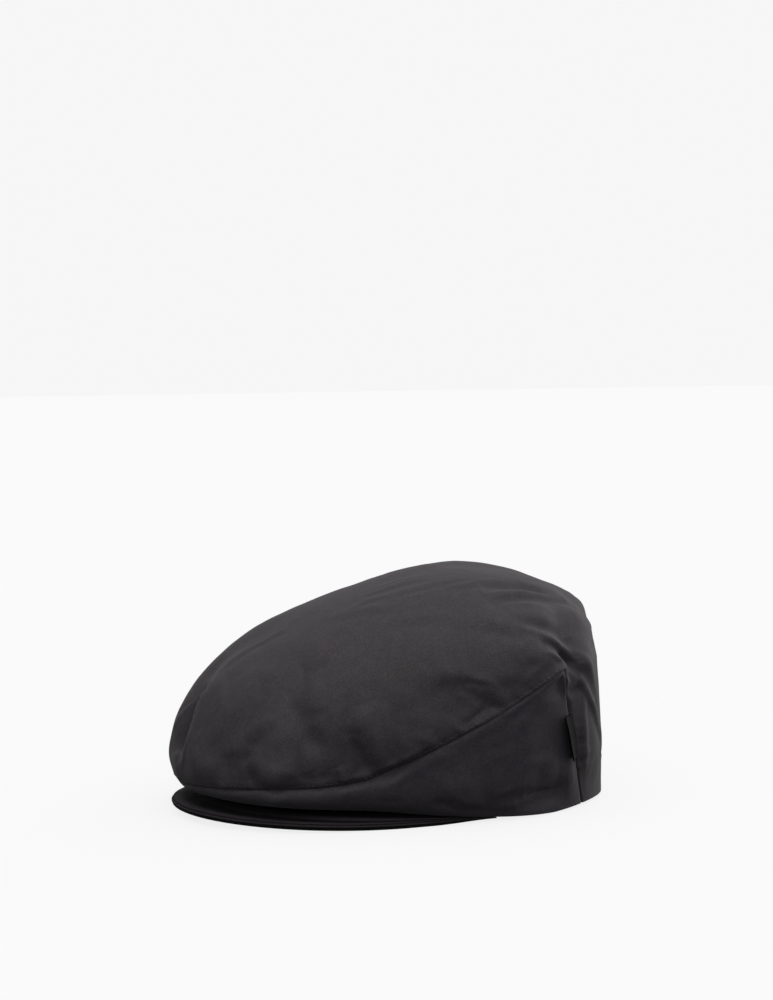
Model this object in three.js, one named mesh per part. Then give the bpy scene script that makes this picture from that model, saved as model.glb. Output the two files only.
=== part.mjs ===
// A flat cap of waxed cotton, standing as it rests on a table: on its rear hem and on the sides of its peak.
// Millimetres, +Z up. The wearer faces -Y, and the wearer's left is +X. The floor is z = 0.
import * as THREE from 'three';

// Head opening: an oval, measured at the outside of the hem
const HEM_HALF_LENGTH = 101;
const HEM_HALF_WIDTH = 82;
// The peak lifts the front of the hem, and the cloth sags back to the floor behind.
// The hem lies flat on the floor from this share of the half length behind the head's axis.
const HEM_FRONT_LIFT = 11;
const HEM_LIFT_POWER = 1.15;
const HEM_FLOOR_FROM = 0.4;
const HEM_WIDTH = 3;          // the turned hem, which is two layers thick
const CLOTH = 1.8;            // outer cloth with its plain inside
const HEM_BLEND = 9;          // the height over which the hem thins to the cloth
const GAP = 0.3;              // between neighbouring pieces
const CROWN_HEIGHT = 136;     // at the crown's middle, over the floor
// The head's axis lies this far behind the middle of the cap's length
const AXIS_Y = 31;

// Sections of the outer surface, at even angles from the front round to the back.
// r is measured from the head's axis, z from the floor.
// low: what the side panel bulges toward; seam: where it meets the crown panel;
// edge, shoulder and top: what the crown is drawn toward on its way from the seam to its middle.
const SECTIONS = table(
  ['angle', 'lowR', 'lowZ', 'seamR', 'seamZ', 'edgeR', 'edgeZ', 'shoulderR', 'shoulderZ', 'topR', 'topZ'],
  [
    [0, 158, 9.5, 160, 19, 177, 37, 145, 97, 62, 130],
    [22.5, 150, 9, 145, 23.5, 161, 41, 142, 99, 60, 131],
    [45, 112, 10, 111, 28, 128, 52, 116, 107, 55, 134],
    [67.5, 98, 14, 100, 47, 107, 72, 99, 117, 50, 137],
    [90, 95, 24, 100, 67, 103, 90, 97, 126, 48, 138],
    [112.5, 95, 36, 103, 87, 104, 106, 97, 127, 48, 139],
    [135, 97, 38, 99, 86, 98, 106, 97, 127, 50, 138.5],
    [157.5, 98, 40, 95, 86, 90, 104, 95, 126, 50, 138],
    [180, 100, 40, 95, 86, 92, 104, 94, 126, 50, 138],
  ],
);
const SECTION_STEP = SECTIONS[1].angle;

// The rear seam leans forward from the hem to its corner with the crown's seam: degrees from the front
const REAR_SEAM_AT_HEM = 135;
const REAR_SEAM_LEAN = -29.5;
const REAR_SEAM_CURVE = 5;

// The main folds and dents. Each runs from one place to another on the surface, given by its angle from the
// front (plus toward the wearer's left) and its level (0 hem, 1 seam, 2 middle of the crown).
// depth is how far the cloth goes in (minus) or stands out (plus).
const FOLDS = table(
  ['name', 'angle', 'level', 'toAngle', 'toLevel', 'width', 'depth'],
  [
    ['front_crease', -9, 1.42, 3, 1.12, 9, -3.5],
    ['front_crease_right', -32, 1.4, -22, 1.14, 11, -3],
    ['front_valley', 25, 1.46, 21, 1.22, 11, -3],
    ['broad_valley', 29, 1.45, 38, 1.18, 12, -3.5],
    ['short_crease', 43, 1.28, 52, 1.04, 9, -4.5],
    ['valley_over_seam', 60, 1.36, 90, 1.12, 12, -4],
    ['corner_fold', 104, 1.25, 117, 1.03, 9, -6],
    ['corner_ridge', 121, 0.95, 150, 0.4, 10, 2.5],
    ['top_rear_valley', 97, 1.55, 148, 1.5, 13, -5],
    ['top_rear_valley_right', -100, 1.45, -145, 1.4, 14, -4],
    ['corner_fold_right', -103, 1.22, -119, 1.0, 10, -5],
    ['back_dent', 176, 0.9, -160, 0.45, 14, -4],
    ['side_dent_right', -48, 1.3, -60, 1.05, 12, -4],
    ['hem_crease', 86, 0.3, 112, 0.26, 8, -2.5],
    ['hem_crease_right', -90, 0.32, -116, 0.24, 9, -2.5],
  ],
);
const FOLD_STOPS = 6;         // stretches that a fold's line is measured along
const FOLD_KEEP_OFF_HEM = 10; // folds fade out within this height over the hem

// The peak
const PEAK_REACH = 62;        // beyond the hem, at the front
const PEAK_HALF_ANGLE = 86;
const PEAK_ROUNDNESS = 3.2;   // how quickly the reach falls off to the sides
const PEAK_THICKNESS = 3.8;
const PEAK_END_THICKNESS = 1.8;
const PEAK_UNDER_HEM = 2.6;   // how far it runs in under the hem
const PEAK_ARCH = 4;          // how high the middle of its rim stands over the floor
const PEAK_ARCH_ANGLE = 58;   // where the rim comes down to the floor on each side

// The ribbon tab in the left rear seam
const TAB_LOW_LEVEL = 0.4;
const TAB_HIGH_LEVEL = 0.7;
const TAB_OUT = 10;
const TAB_THICKNESS = 1.0;
const TAB_LEAN = 72;          // degrees that it lies forward from standing straight out

// The way out of the cloth is measured over this much of a level to each side, so that it turns evenly
const NORMAL_REACH = 0.05;

// How finely the cloth is divided
const SIDE_STEPS = 28;        // round each side panel
const BACK_STEPS = 22;        // round the back
const LOW_LEVELS = [0, 0.07, 0.18, 0.31, 0.45, 0.59, 0.73, 0.87];
const HIGH_LEVELS = [0.05, 0.12, 0.2, 0.29, 0.38, 0.47, 0.56, 0.65, 0.74, 0.83, 0.92];
const PEAK_STEPS = 44;
const PEAK_RIM_STEPS = 4;
const PEAK_SPANS = 5;

// A table as one object for each row
function table(columns, rows) {
  return rows.map((row) => Object.fromEntries(columns.map((name, i) => [name, row[i]])));
}

const radians = THREE.MathUtils.degToRad;
const degrees = THREE.MathUtils.radToDeg;

// A column of the section table at any angle, by a smooth curve through its rows
function column(name, angle) {
  const last = SECTIONS.length - 1;
  const place = Math.abs(THREE.MathUtils.euclideanModulo(degrees(angle) + 180, 360) - 180) / SECTION_STEP;
  const row = Math.min(Math.floor(place), last - 1);
  const value = (index) => SECTIONS[last - Math.abs(last - Math.abs(index))][name];
  return catmullRom(place - row, value(row - 1), value(row), value(row + 1), value(row + 2));
}

function catmullRom(f, p0, p1, p2, p3) {
  return p1 + 0.5 * f * (p2 - p0 + f * (2 * p0 - 5 * p1 + 4 * p2 - p3 + f * (3 * (p1 - p2) + p3 - p0)));
}

// A Bezier curve of any degree, by repeated blending
function bezier(values, f) {
  let row = values;
  while (row.length > 1) {
    row = row.slice(1).map((next, i) => THREE.MathUtils.lerp(row[i], next, f));
  }
  return row[0];
}

function fromAxis(angle, r, z) {
  return new THREE.Vector3(r * Math.sin(angle), AXIS_Y - r * Math.cos(angle), z);
}

function hemRadius(angle) {
  return 1 / Math.hypot(Math.sin(angle) / HEM_HALF_WIDTH, Math.cos(angle) / HEM_HALF_LENGTH);
}

function hemHeight(angle) {
  const forward = hemRadius(angle) * Math.cos(angle) / HEM_HALF_LENGTH;
  const share = (forward + HEM_FLOOR_FROM) / (1 + HEM_FLOOR_FROM);
  return HEM_FRONT_LIFT * Math.max(share, 0) ** HEM_LIFT_POWER;
}

// The outer surface without its folds, at an angle and a level (0 hem, 1 seam, 2 middle of the crown)
function smoothPoint(angle, level) {
  const at = (name) => column(name, angle);
  if (level <= 1) {
    const r = bezier([hemRadius(angle), at('lowR'), at('seamR')], level);
    const z = bezier([hemHeight(angle), at('lowZ'), at('seamZ')], level);
    return fromAxis(angle, r, z);
  }
  const r = bezier([at('seamR'), at('edgeR'), at('shoulderR'), at('topR'), 0], level - 1);
  const z = bezier([at('seamZ'), at('edgeZ'), at('shoulderZ'), at('topZ'), CROWN_HEIGHT], level - 1);
  return fromAxis(angle, r, z);
}

// The way out of a surface, from its points a little to each side
function outward(surface, angle, level) {
  if (level === 2) {
    return new THREE.Vector3(0, 0, 1);
  }
  const turn = 0.01;
  const low = Math.max(level - NORMAL_REACH, 0);
  const high = Math.min(level + NORMAL_REACH, 2 - NORMAL_REACH / 2);
  const round = surface(angle + turn, level).sub(surface(angle - turn, level));
  const up = surface(angle, high).sub(surface(angle, low));
  return round.cross(up).normalize();
}

// Each fold as a line of points on the smooth surface
const foldLines = FOLDS.map((fold) => {
  const points = [];
  for (let i = 0; i <= FOLD_STOPS; i += 1) {
    const f = i / FOLD_STOPS;
    const angle = radians(THREE.MathUtils.lerp(fold.angle, fold.toAngle, f));
    points.push(smoothPoint(angle, THREE.MathUtils.lerp(fold.level, fold.toLevel, f)));
  }
  return { ...fold, points };
});

// How far a fold moves the cloth at a point: deepest on its line, fading to its sides and ends
function foldDepth(fold, point) {
  const nearest = new THREE.Vector3();
  let best = Infinity;
  for (let i = 0; i < FOLD_STOPS; i += 1) {
    new THREE.Line3(fold.points[i], fold.points[i + 1]).closestPointToPoint(point, true, nearest);
    best = Math.min(best, nearest.distanceTo(point));
  }
  return fold.depth * Math.exp(-((best / fold.width) ** 2));
}

// The outer surface with its folds
function clothPoint(angle, level) {
  const point = smoothPoint(angle, level);
  const depth = foldLines.reduce((sum, fold) => sum + foldDepth(fold, point), 0);
  const overHem = point.z - hemHeight(angle);
  const fade = THREE.MathUtils.smoothstep(overHem, 0, FOLD_KEEP_OFF_HEM);
  return point.addScaledVector(outward(smoothPoint, angle, level), depth * fade);
}

// The inner surface: one cloth further in, and a whole hem's width further in at the hem
function innerPoint(angle, level) {
  const outer = clothPoint(angle, level);
  const inner = outer.clone().addScaledVector(outward(clothPoint, angle, level), -CLOTH);
  const hem = fromAxis(angle, hemRadius(angle) - HEM_WIDTH, hemHeight(angle));
  const nearHem = 1 - THREE.MathUtils.smoothstep(outer.distanceTo(clothPoint(angle, 0)), 0, HEM_BLEND);
  return level === 0 ? hem : inner.lerp(hem.setZ(inner.z), nearHem * 0.5);
}

// The rear seam's angle at a level
function rearSeam(level) {
  const f = Math.min(level, 1);
  return radians(REAR_SEAM_AT_HEM + REAR_SEAM_LEAN * f + REAR_SEAM_CURVE * f * f);
}

// A place on the cloth. round and up say which way a panel's edge stops half a gap short of its seam:
// 1 stands further round from the front or further up, and -1 stands back.
function place(angle, level, round = 0, up = 0) {
  return { angle, level, round, up };
}

// The half gap at a place, as a step along the cloth
function seamStep({ angle, level, round, up }) {
  const reach = 0.02;
  const aside = clothPoint(angle + reach, level).sub(clothPoint(angle - reach, level)).setLength(GAP / 2);
  const upward = clothPoint(angle, level + reach).sub(clothPoint(angle, level - reach)).setLength(GAP / 2);
  return aside.multiplyScalar(round).addScaledVector(upward, up);
}

// Both faces of a wall, from rows of places on the cloth
function clothWall(rows) {
  const face = (surface) => rows.map((row) => row.map((spot) => {
    const point = surface(spot.angle, spot.level);
    return spot.round || spot.up ? point.add(seamStep(spot)) : point;
  }));
  return { outer: face(clothPoint), inner: face(innerPoint) };
}

// Collects triangles, and turns them into a geometry
class Surface {
  constructor() {
    this.points = [];
  }

  triangle(a, b, c) {
    this.points.push(a, b, c);
  }

  quad(a, b, c, d) {
    this.triangle(a, b, c);
    this.triangle(a, c, d);
  }

  // A grid whose rows run left to right and follow each other upward, seen from outside
  grid(rows) {
    for (let j = 0; j + 1 < rows.length; j += 1) {
      for (let i = 0; i + 1 < rows[j].length; i += 1) {
        this.quad(rows[j][i], rows[j][i + 1], rows[j + 1][i + 1], rows[j + 1][i]);
      }
    }
  }

  geometry() {
    const geometry = new THREE.BufferGeometry().setFromPoints(this.points);
    geometry.computeVertexNormals();
    return geometry;
  }
}

const reversed = (rows) => rows.map((row) => [...row].reverse());

// A side panel between the centre front, the hem, the crown's seam and the rear seam, as a closed wall
function sidePanel(side) {
  const places = [...LOW_LEVELS, 1].map((level) => {
    const row = [];
    for (let i = 0; i <= SIDE_STEPS; i += 1) {
      const round = (i === 0) - (i === SIDE_STEPS);
      row.push(place(side * rearSeam(level) * i / SIDE_STEPS, level, side * round, level === 1 ? -1 : 0));
    }
    return row;
  });
  const { outer, inner } = clothWall(side > 0 ? places : reversed(places));
  const surface = new Surface();
  surface.grid(outer);
  surface.grid(reversed(inner));
  closeEdge(surface, outer, inner);
  return surface.geometry();
}

// Joins the rims of an outer and an inner grid of the same size. The edges that face each other across
// a seam are split along the same diagonals, so that the gap between them stays even.
function closeEdge(surface, outer, inner) {
  const top = outer.length - 1;
  surface.grid([inner[0], outer[0]]);
  surface.grid(outer[top].map((point, i) => [inner[top][i], point]));
  closeSides(surface, outer, inner);
}

function closeSides(surface, outer, inner) {
  surface.grid(outer.map((row, j) => [inner[j][0], row[0]]));
  surface.grid([inner.map((row) => row.at(-1)), outer.map((row) => row.at(-1))]);
}

// The crown panel: a disc inside the seam, and a strip down the back between the two rear seams
function crownPanel() {
  const disc = [0, ...HIGH_LEVELS].map((high) => discRow(1 + high));
  const strip = LOW_LEVELS.map((level) => backRow(level));
  const round = clothWall(disc);
  const down = clothWall(strip);
  const backStart = SIDE_STEPS;
  const joined = (ring, rows) => [...rows, ring.slice(backStart, backStart + BACK_STEPS + 1)];
  const outerStrip = joined(round.outer[0], down.outer);
  const innerStrip = joined(round.inner[0], down.inner);
  const surface = new Surface();
  surface.grid(round.outer);
  surface.grid(reversed(round.inner));
  surface.grid(outerStrip);
  surface.grid(reversed(innerStrip));
  capDisc(surface, round.outer.at(-1), clothPoint(0, 2), false);
  capDisc(surface, round.inner.at(-1), innerPoint(0, 2), true);
  // the free rim: the hem, the two rear seams, and the seam round the sides and the front
  surface.grid([innerStrip[0], outerStrip[0]]);
  closeSides(surface, outerStrip, innerStrip);
  const front = (ring) => [...ring.slice(backStart + BACK_STEPS), ...ring.slice(1, backStart + 1)];
  surface.grid([front(round.inner[0]), front(round.outer[0])]);
  return surface.geometry();
}

// A row of places across the back, from the left rear seam round to the right one
function backRow(level) {
  const row = [];
  const start = rearSeam(level);
  for (let i = 0; i <= BACK_STEPS; i += 1) {
    const round = level <= 1 ? (i === 0) - (i === BACK_STEPS) : 0;
    const up = level === 1 && round !== 0 ? 1 : 0;
    row.push(place(THREE.MathUtils.lerp(start, 2 * Math.PI - start, i / BACK_STEPS), level, round, up));
  }
  return row;
}

// A closed ring of places round the crown, at the seam or over it
function discRow(level) {
  const left = [];
  const right = [];
  for (let i = 0; i < SIDE_STEPS; i += 1) {
    const angle = rearSeam(1) * i / SIDE_STEPS;
    left.push(place(angle, level, 0, level === 1 ? 1 : 0));
    right.unshift(place(2 * Math.PI - angle, level, 0, level === 1 ? 1 : 0));
  }
  return [...left, ...backRow(level), ...right];
}

function capDisc(surface, ring, middle, inside) {
  for (let i = 0; i + 1 < ring.length; i += 1) {
    if (inside) {
      surface.triangle(ring[i + 1], ring[i], middle);
    } else {
      surface.triangle(ring[i], ring[i + 1], middle);
    }
  }
}

// The peak's outline and heights at an angle
function peakReach(angle) {
  return PEAK_REACH * Math.max(Math.cos(angle * 90 / PEAK_HALF_ANGLE), 0) ** PEAK_ROUNDNESS;
}

function peakThickness(angle) {
  const f = Math.abs(degrees(angle)) / PEAK_HALF_ANGLE;
  return THREE.MathUtils.lerp(PEAK_THICKNESS, PEAK_END_THICKNESS, f ** 3);
}

function rimBottom(angle) {
  const turn = Math.abs(degrees(angle));
  if (turn <= PEAK_ARCH_ANGLE) {
    return PEAK_ARCH * Math.cos(radians(turn * 90 / PEAK_ARCH_ANGLE)) ** 2;
  }
  const end = hemHeight(radians(PEAK_HALF_ANGLE)) - GAP - PEAK_END_THICKNESS;
  return end * THREE.MathUtils.smoothstep(turn, PEAK_ARCH_ANGLE + 6, PEAK_HALF_ANGLE);
}

// One section of the peak, as a closed loop of points: out along its top, round the rim and back underneath
function peakSection(angle) {
  const thick = peakThickness(angle);
  const innerR = hemRadius(angle) - PEAK_UNDER_HEM;
  const rimR = hemRadius(angle) + peakReach(angle) - thick / 2;
  const innerZ = hemHeight(angle) - GAP - thick / 2;
  const rimZ = rimBottom(angle) + thick / 2;
  const middle = (f) => [THREE.MathUtils.lerp(innerR, rimR, f), THREE.MathUtils.lerp(innerZ, rimZ, f)];
  const spans = Array.from({ length: PEAK_SPANS + 1 }, (unused, i) => i / PEAK_SPANS);
  const top = spans.map((f) => [middle(f)[0], middle(f)[1] + thick / 2]);
  const rim = [];
  for (let i = 1; i < PEAK_RIM_STEPS; i += 1) {
    const turn = Math.PI * i / PEAK_RIM_STEPS;
    rim.push([rimR + thick / 2 * Math.sin(turn), rimZ + thick / 2 * Math.cos(turn)]);
  }
  const under = spans.reverse().map((f) => [middle(f)[0], middle(f)[1] - thick / 2]);
  return [...top, ...rim, ...under].map(([r, z]) => fromAxis(angle, r, z));
}

function peak() {
  const sections = [];
  for (let i = 0; i <= PEAK_STEPS; i += 1) {
    sections.push(peakSection(radians(PEAK_HALF_ANGLE) * (2 * i / PEAK_STEPS - 1)));
  }
  const surface = new Surface();
  const loops = sections.map((loop) => [...loop, loop[0]]);
  surface.grid(loops);
  capLoop(surface, sections[0], true);
  capLoop(surface, sections.at(-1), false);
  return surface.geometry();
}

function capLoop(surface, loop, first) {
  for (let i = 1; i + 1 < loop.length; i += 1) {
    if (first) {
      surface.triangle(loop[0], loop[i + 1], loop[i]);
    } else {
      surface.triangle(loop[0], loop[i], loop[i + 1]);
    }
  }
}

// The ribbon tab: a thin slab that comes out of the left rear seam and lies forward over the side panel
function seamTab() {
  const steps = 4;
  const rows = [];
  for (let i = 0; i <= steps; i += 1) {
    const level = THREE.MathUtils.lerp(TAB_LOW_LEVEL, TAB_HIGH_LEVEL, i / steps);
    const angle = rearSeam(level);
    const out = outward(clothPoint, angle, level);
    const round = new THREE.Vector3(Math.cos(angle), Math.sin(angle), 0);
    const along = out.clone().multiplyScalar(Math.cos(radians(TAB_LEAN)));
    along.addScaledVector(round, -Math.sin(radians(TAB_LEAN))).normalize();
    const across = along.clone().cross(new THREE.Vector3(0, 0, 1)).normalize();
    const foot = clothPoint(angle, level).addScaledVector(out, GAP + TAB_THICKNESS / 2);
    const corner = (a, b) => foot.clone().addScaledVector(along, a).addScaledVector(across, b);
    const half = TAB_THICKNESS / 2;
    rows.push([corner(0, half), corner(TAB_OUT, half), corner(TAB_OUT, -half), corner(0, -half)]);
  }
  const surface = new Surface();
  surface.grid(rows.map((row) => [...row, row[0]]));
  capLoop(surface, rows[0], true);
  capLoop(surface, rows.at(-1), false);
  return surface.geometry();
}

// The waxed cloths: each piece's colour, and how matt it is
const CLOTHS = {
  crown: { color: 0x343234, roughness: 0.78 },
  side: { color: 0x26252a, roughness: 0.7 },
  peak: { color: 0x1a191b, roughness: 0.65 },
  ribbon: { color: 0x111113, roughness: 0.6 },
};

function piece(name, geometry, cloth) {
  const mesh = new THREE.Mesh(geometry, new THREE.MeshStandardMaterial({ ...cloth, metalness: 0 }));
  mesh.name = name;
  return mesh;
}

const cap = new THREE.Group();
cap.add(piece('crown_panel', crownPanel(), CLOTHS.crown));
cap.add(piece('side_panel_left', sidePanel(1), CLOTHS.side));
cap.add(piece('side_panel_right', sidePanel(-1), CLOTHS.side));
cap.add(piece('peak', peak(), CLOTHS.peak));
cap.add(piece('seam_tab', seamTab(), CLOTHS.ribbon));

export default cap;
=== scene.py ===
# %% [markdown]
# # A soft flat cap of waxed cotton
# This lesson dresses a plain model of a flat cap as the real thing: panels of waxed cotton sewn
# together, a covered peak and a small ribbon tab. The plain model says where everything is and
# how large, and each piece made here takes the place of one plain piece.

import math

import bpy
import numpy as np
from mathutils import Matrix, Vector, noise


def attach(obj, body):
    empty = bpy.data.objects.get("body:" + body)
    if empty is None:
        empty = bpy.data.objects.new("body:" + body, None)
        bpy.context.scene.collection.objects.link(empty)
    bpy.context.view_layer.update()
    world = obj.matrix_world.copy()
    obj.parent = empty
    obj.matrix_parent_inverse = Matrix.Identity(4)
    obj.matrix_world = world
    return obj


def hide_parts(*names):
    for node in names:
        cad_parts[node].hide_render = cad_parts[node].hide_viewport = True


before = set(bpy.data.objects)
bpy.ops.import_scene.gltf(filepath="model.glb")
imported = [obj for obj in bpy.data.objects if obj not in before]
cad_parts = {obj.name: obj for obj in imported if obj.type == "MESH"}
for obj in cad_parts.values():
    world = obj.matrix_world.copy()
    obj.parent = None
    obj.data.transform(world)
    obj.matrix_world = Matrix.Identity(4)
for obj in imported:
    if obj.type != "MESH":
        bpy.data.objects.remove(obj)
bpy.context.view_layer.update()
MM = 0.001
print("plain pieces:", sorted(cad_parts))

# %% [markdown]
# ## The camera
# The cap is seen from the wearer's left and a little in front, from just above the table. The
# camera stands where the photographer's did, and is aimed above the cap and ahead of it, which
# leaves the cap low in the picture without shifting the lens.

# %% Place the camera
HEAD_AXIS = Vector((0, 31 * MM, 0))
AZIMUTH = math.radians(66)
ELEVATION = math.radians(12)
CAMERA_DISTANCE = 1.4
AIM = Vector((-0.2077, 0.0847, 0.1581))
LENS_MM = 83.65

toward_camera = Vector((
    math.sin(AZIMUTH) * math.cos(ELEVATION),
    -math.cos(AZIMUTH) * math.cos(ELEVATION),
    math.sin(ELEVATION),
))
bpy.ops.object.camera_add(location=HEAD_AXIS + toward_camera * CAMERA_DISTANCE)
camera = bpy.context.object
camera.rotation_euler = (AIM - camera.location).to_track_quat("-Z", "Y").to_euler()
camera.data.lens = LENS_MM
bpy.context.scene.camera = camera
print("camera at", [round(x, 3) for x in camera.location])

# %% [markdown]
# ## One helper for all shader nodes
# Every material below is a small network of nodes. One function adds a node, sets it, and links
# what feeds it, so that each material reads as a list of steps.

# %% Add a node
def add(tree, kind, inputs=None, stops=None, **settings):
    """Adds a shader node. An input takes a value, or another node's output to follow.
    stops are the (place, colour) pairs of a colour ramp."""
    made = tree.nodes.new("ShaderNode" + kind)
    for key, value in settings.items():
        setattr(made, key, value)
    for key, value in (inputs or {}).items():
        if isinstance(value, bpy.types.NodeSocket):
            tree.links.new(value, made.inputs[key])
        else:
            made.inputs[key].default_value = value
    for k, (place, colour) in enumerate(stops or ()):
        elements = made.color_ramp.elements
        element = elements[k] if k < 2 else elements.new(place)
        element.position = place
        element.color = colour
    return made


def linear(hex_colour):
    """An sRGB colour written as hex, as the linear values that a shader takes."""
    shares = [int(hex_colour[i:i + 2], 16) / 255 for i in (1, 3, 5)]
    steps = [s / 12.92 if s <= 0.04045 else ((s + 0.055) / 1.055) ** 2.4 for s in shares]
    return (*steps, 1.0)


print("half way from black to white in hex is", round(linear("#808080")[0], 3), "of the light")

# %% [markdown]
# ## The studio
# The cap stands on a white table in a white room. Three large soft boxes light it from above: one
# overhead, one over the camera and one to its right. Three low white screens, at the left, at the
# right and behind, light the edges, and the white table sends a little light up. Their strengths
# were tried out one lamp at a time until the cloth had the picture's tones. The room that the
# camera sees is one even white, as in a printed picture of goods.

# %% Light the room
ROOM_WHITE = 0.922
# turned from the camera to its right and raised, in degrees; then how narrow, and how strong
SOFT_BOXES = [
    (0, 90, 4, 1.32),
    (0, 50, 4, 1.54),
    (90, 50, 4, 0.96),
    (315, 10, 3, 0.36),
    (200, 10, 3, 0.37),
    (125, 12, 12, 2.3),
    (0, -70, 2, 0.04),
]


def lamp_way(turned, raised):
    """The direction of a lamp, from the cap, as the camera sees left and right."""
    turned = math.radians(turned)
    raised = math.radians(raised)
    bearing = AZIMUTH + turned
    return (math.sin(bearing) * math.cos(raised), -math.cos(bearing) * math.cos(raised), math.sin(raised))


world = bpy.data.worlds.new("white_room")
world.use_nodes = True
bpy.context.scene.world = world
tree = world.node_tree
tree.nodes.clear()
direction = add(tree, "TexCoord").outputs["Generated"]
lamps = 0.0
for turned, raised, focus, strength in SOFT_BOXES:
    way = {0: direction, 1: lamp_way(turned, raised)}
    facing = add(tree, "VectorMath", way, operation="DOT_PRODUCT").outputs["Value"]
    ahead = add(tree, "Math", {0: facing, 1: 0.0}, operation="MAXIMUM").outputs["Value"]
    soft = add(tree, "Math", {0: ahead, 1: float(focus)}, operation="POWER").outputs["Value"]
    lamps = add(tree, "Math", {0: soft, 1: strength, 2: lamps}, operation="MULTIPLY_ADD").outputs["Value"]
lit = add(tree, "Background", {"Color": (1, 1, 1, 1), "Strength": lamps})
seen = add(tree, "Background", {"Color": (ROOM_WHITE,) * 3 + (1,), "Strength": 1.0})
to_camera = add(tree, "LightPath").outputs["Is Camera Ray"]
both = add(tree, "MixShader", {0: to_camera, 1: lit.outputs["Background"], 2: seen.outputs["Background"]})
add(tree, "OutputWorld", {"Surface": both.outputs["Shader"]})
print(len(SOFT_BOXES), "lamps and screens")

# %% [markdown]
# ## The table
# The table is a sheet of white acrylic lit from underneath, as for pictures of goods: its own glow
# washes out all but the closest shadow. One large plane is enough. It is left out of the light that
# falls back on the cap, because the lamp from below stands for that.

# %% Lay the table
TABLE_SIZE = 12.0
TABLE_DROP = 0.05 * MM
TABLE_GLOW = 0.9
TABLE_ALBEDO = 0.10
bpy.ops.mesh.primitive_plane_add(size=TABLE_SIZE, location=(0, 0, -TABLE_DROP))
table = bpy.context.object
table.name = "table"
table.visible_diffuse = False
table.visible_glossy = False
table_white = bpy.data.materials.new("lit_white_acrylic")
table_white.use_nodes = True
table_shader = table_white.node_tree.nodes["Principled BSDF"]
table_shader.inputs["Base Color"].default_value = (TABLE_ALBEDO,) * 3 + (1,)
table_shader.inputs["Roughness"].default_value = 1.0
table_shader.inputs["Specular IOR Level"].default_value = 0.0
table_shader.inputs["Emission Color"].default_value = (1, 1, 1, 1)
table_shader.inputs["Emission Strength"].default_value = ROOM_WHITE * TABLE_GLOW
table.data.materials.append(table_white)
bpy.context.scene.view_settings.view_transform = "Standard"
print("table at", round(table.location.z / MM, 2), "mm")

# %% [markdown]
# ## The form under the cloth
# A cap has no straight lines, so its form is a stack of outlines round the head's axis. A place on
# it is an angle from the centre front, plus toward the wearer's left, and a level: 0 is the hem,
# 1 the seam round the crown, 2 the middle of the crown. The plain model was made from the same
# table of sections, so the cloth made here lies exactly on it. Lengths in these cells are in mm.

# %% Draw the form's sections
AXIS_Y = 31.0
HEM_HALF_LENGTH = 101.0
HEM_HALF_WIDTH = 82.0
HEM_FRONT_LIFT = 11.0
HEM_LIFT_POWER = 1.15
HEM_FLOOR_FROM = 0.4
# the hem stands off the table a little at the two rear corners, in mm and degrees
REAR_LIFT = 1.9
REAR_LIFT_AT = 143
REAR_LIFT_REACH = 24
CROWN_HEIGHT = 136.0
SECTION_STEP = 22.5
SECTION_COLUMNS = ("low_r", "low_z", "seam_r", "seam_z", "edge_r", "edge_z",
                   "shoulder_r", "shoulder_z", "top_r", "top_z")
SECTIONS = np.array([
    (158, 9.5, 160, 19, 177, 37, 145, 97, 62, 130),
    (150, 9, 145, 23.5, 161, 41, 142, 99, 60, 131),
    (112, 10, 111, 28, 128, 52, 116, 107, 55, 134),
    (98, 14, 100, 47, 107, 72, 99, 117, 50, 137),
    (95, 24, 100, 67, 103, 90, 97, 126, 48, 138),
    (95, 36, 103, 87, 104, 106, 97, 127, 48, 139),
    (97, 38, 99, 86, 98, 106, 97, 127, 50, 138.5),
    (98, 40, 95, 86, 90, 104, 95, 126, 50, 138),
    (100, 40, 95, 86, 92, 104, 94, 126, 50, 138),
])


def section_value(name, angle):
    """One column of the sections at any angle, on a smooth curve through its rows."""
    rows = SECTIONS[:, SECTION_COLUMNS.index(name)]
    last = len(rows) - 1
    place = np.abs((np.degrees(angle) + 180) % 360 - 180) / SECTION_STEP
    row = np.minimum(place.astype(int), last - 1)
    f = place - row
    p0, p1, p2, p3 = (rows[last - np.abs(last - np.abs(row + k))] for k in (-1, 0, 1, 2))
    return p1 + 0.5 * f * (p2 - p0 + f * (2 * p0 - 5 * p1 + 4 * p2 - p3 + f * (3 * (p1 - p2) + p3 - p0)))


def bezier(values, f):
    """A Bezier curve of any degree, by repeated blending."""
    while len(values) > 1:
        values = [a + (b - a) * f for a, b in zip(values, values[1:])]
    return values[0]


def from_axis(angle, r, z):
    """Places from an angle round the head's axis, a distance from it and a height."""
    return np.stack([r * np.sin(angle), AXIS_Y - r * np.cos(angle), z + 0 * angle], -1)


def hem_radius(angle):
    """How far the hem is from the head's axis: it is an oval."""
    return 1 / np.hypot(np.sin(angle) / HEM_HALF_WIDTH, np.cos(angle) / HEM_HALF_LENGTH)


def hem_height(angle):
    """How high the hem is: it rises toward the front, over the peak."""
    forward = hem_radius(angle) * np.cos(angle) / HEM_HALF_LENGTH
    share = (forward + HEM_FLOOR_FROM) / (1 + HEM_FLOOR_FROM)
    from_corner = (np.degrees(np.arccos(np.cos(angle))) - REAR_LIFT_AT) / REAR_LIFT_REACH
    return HEM_FRONT_LIFT * np.maximum(share, 0) ** HEM_LIFT_POWER + REAR_LIFT * np.exp(-from_corner ** 2)


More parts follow.
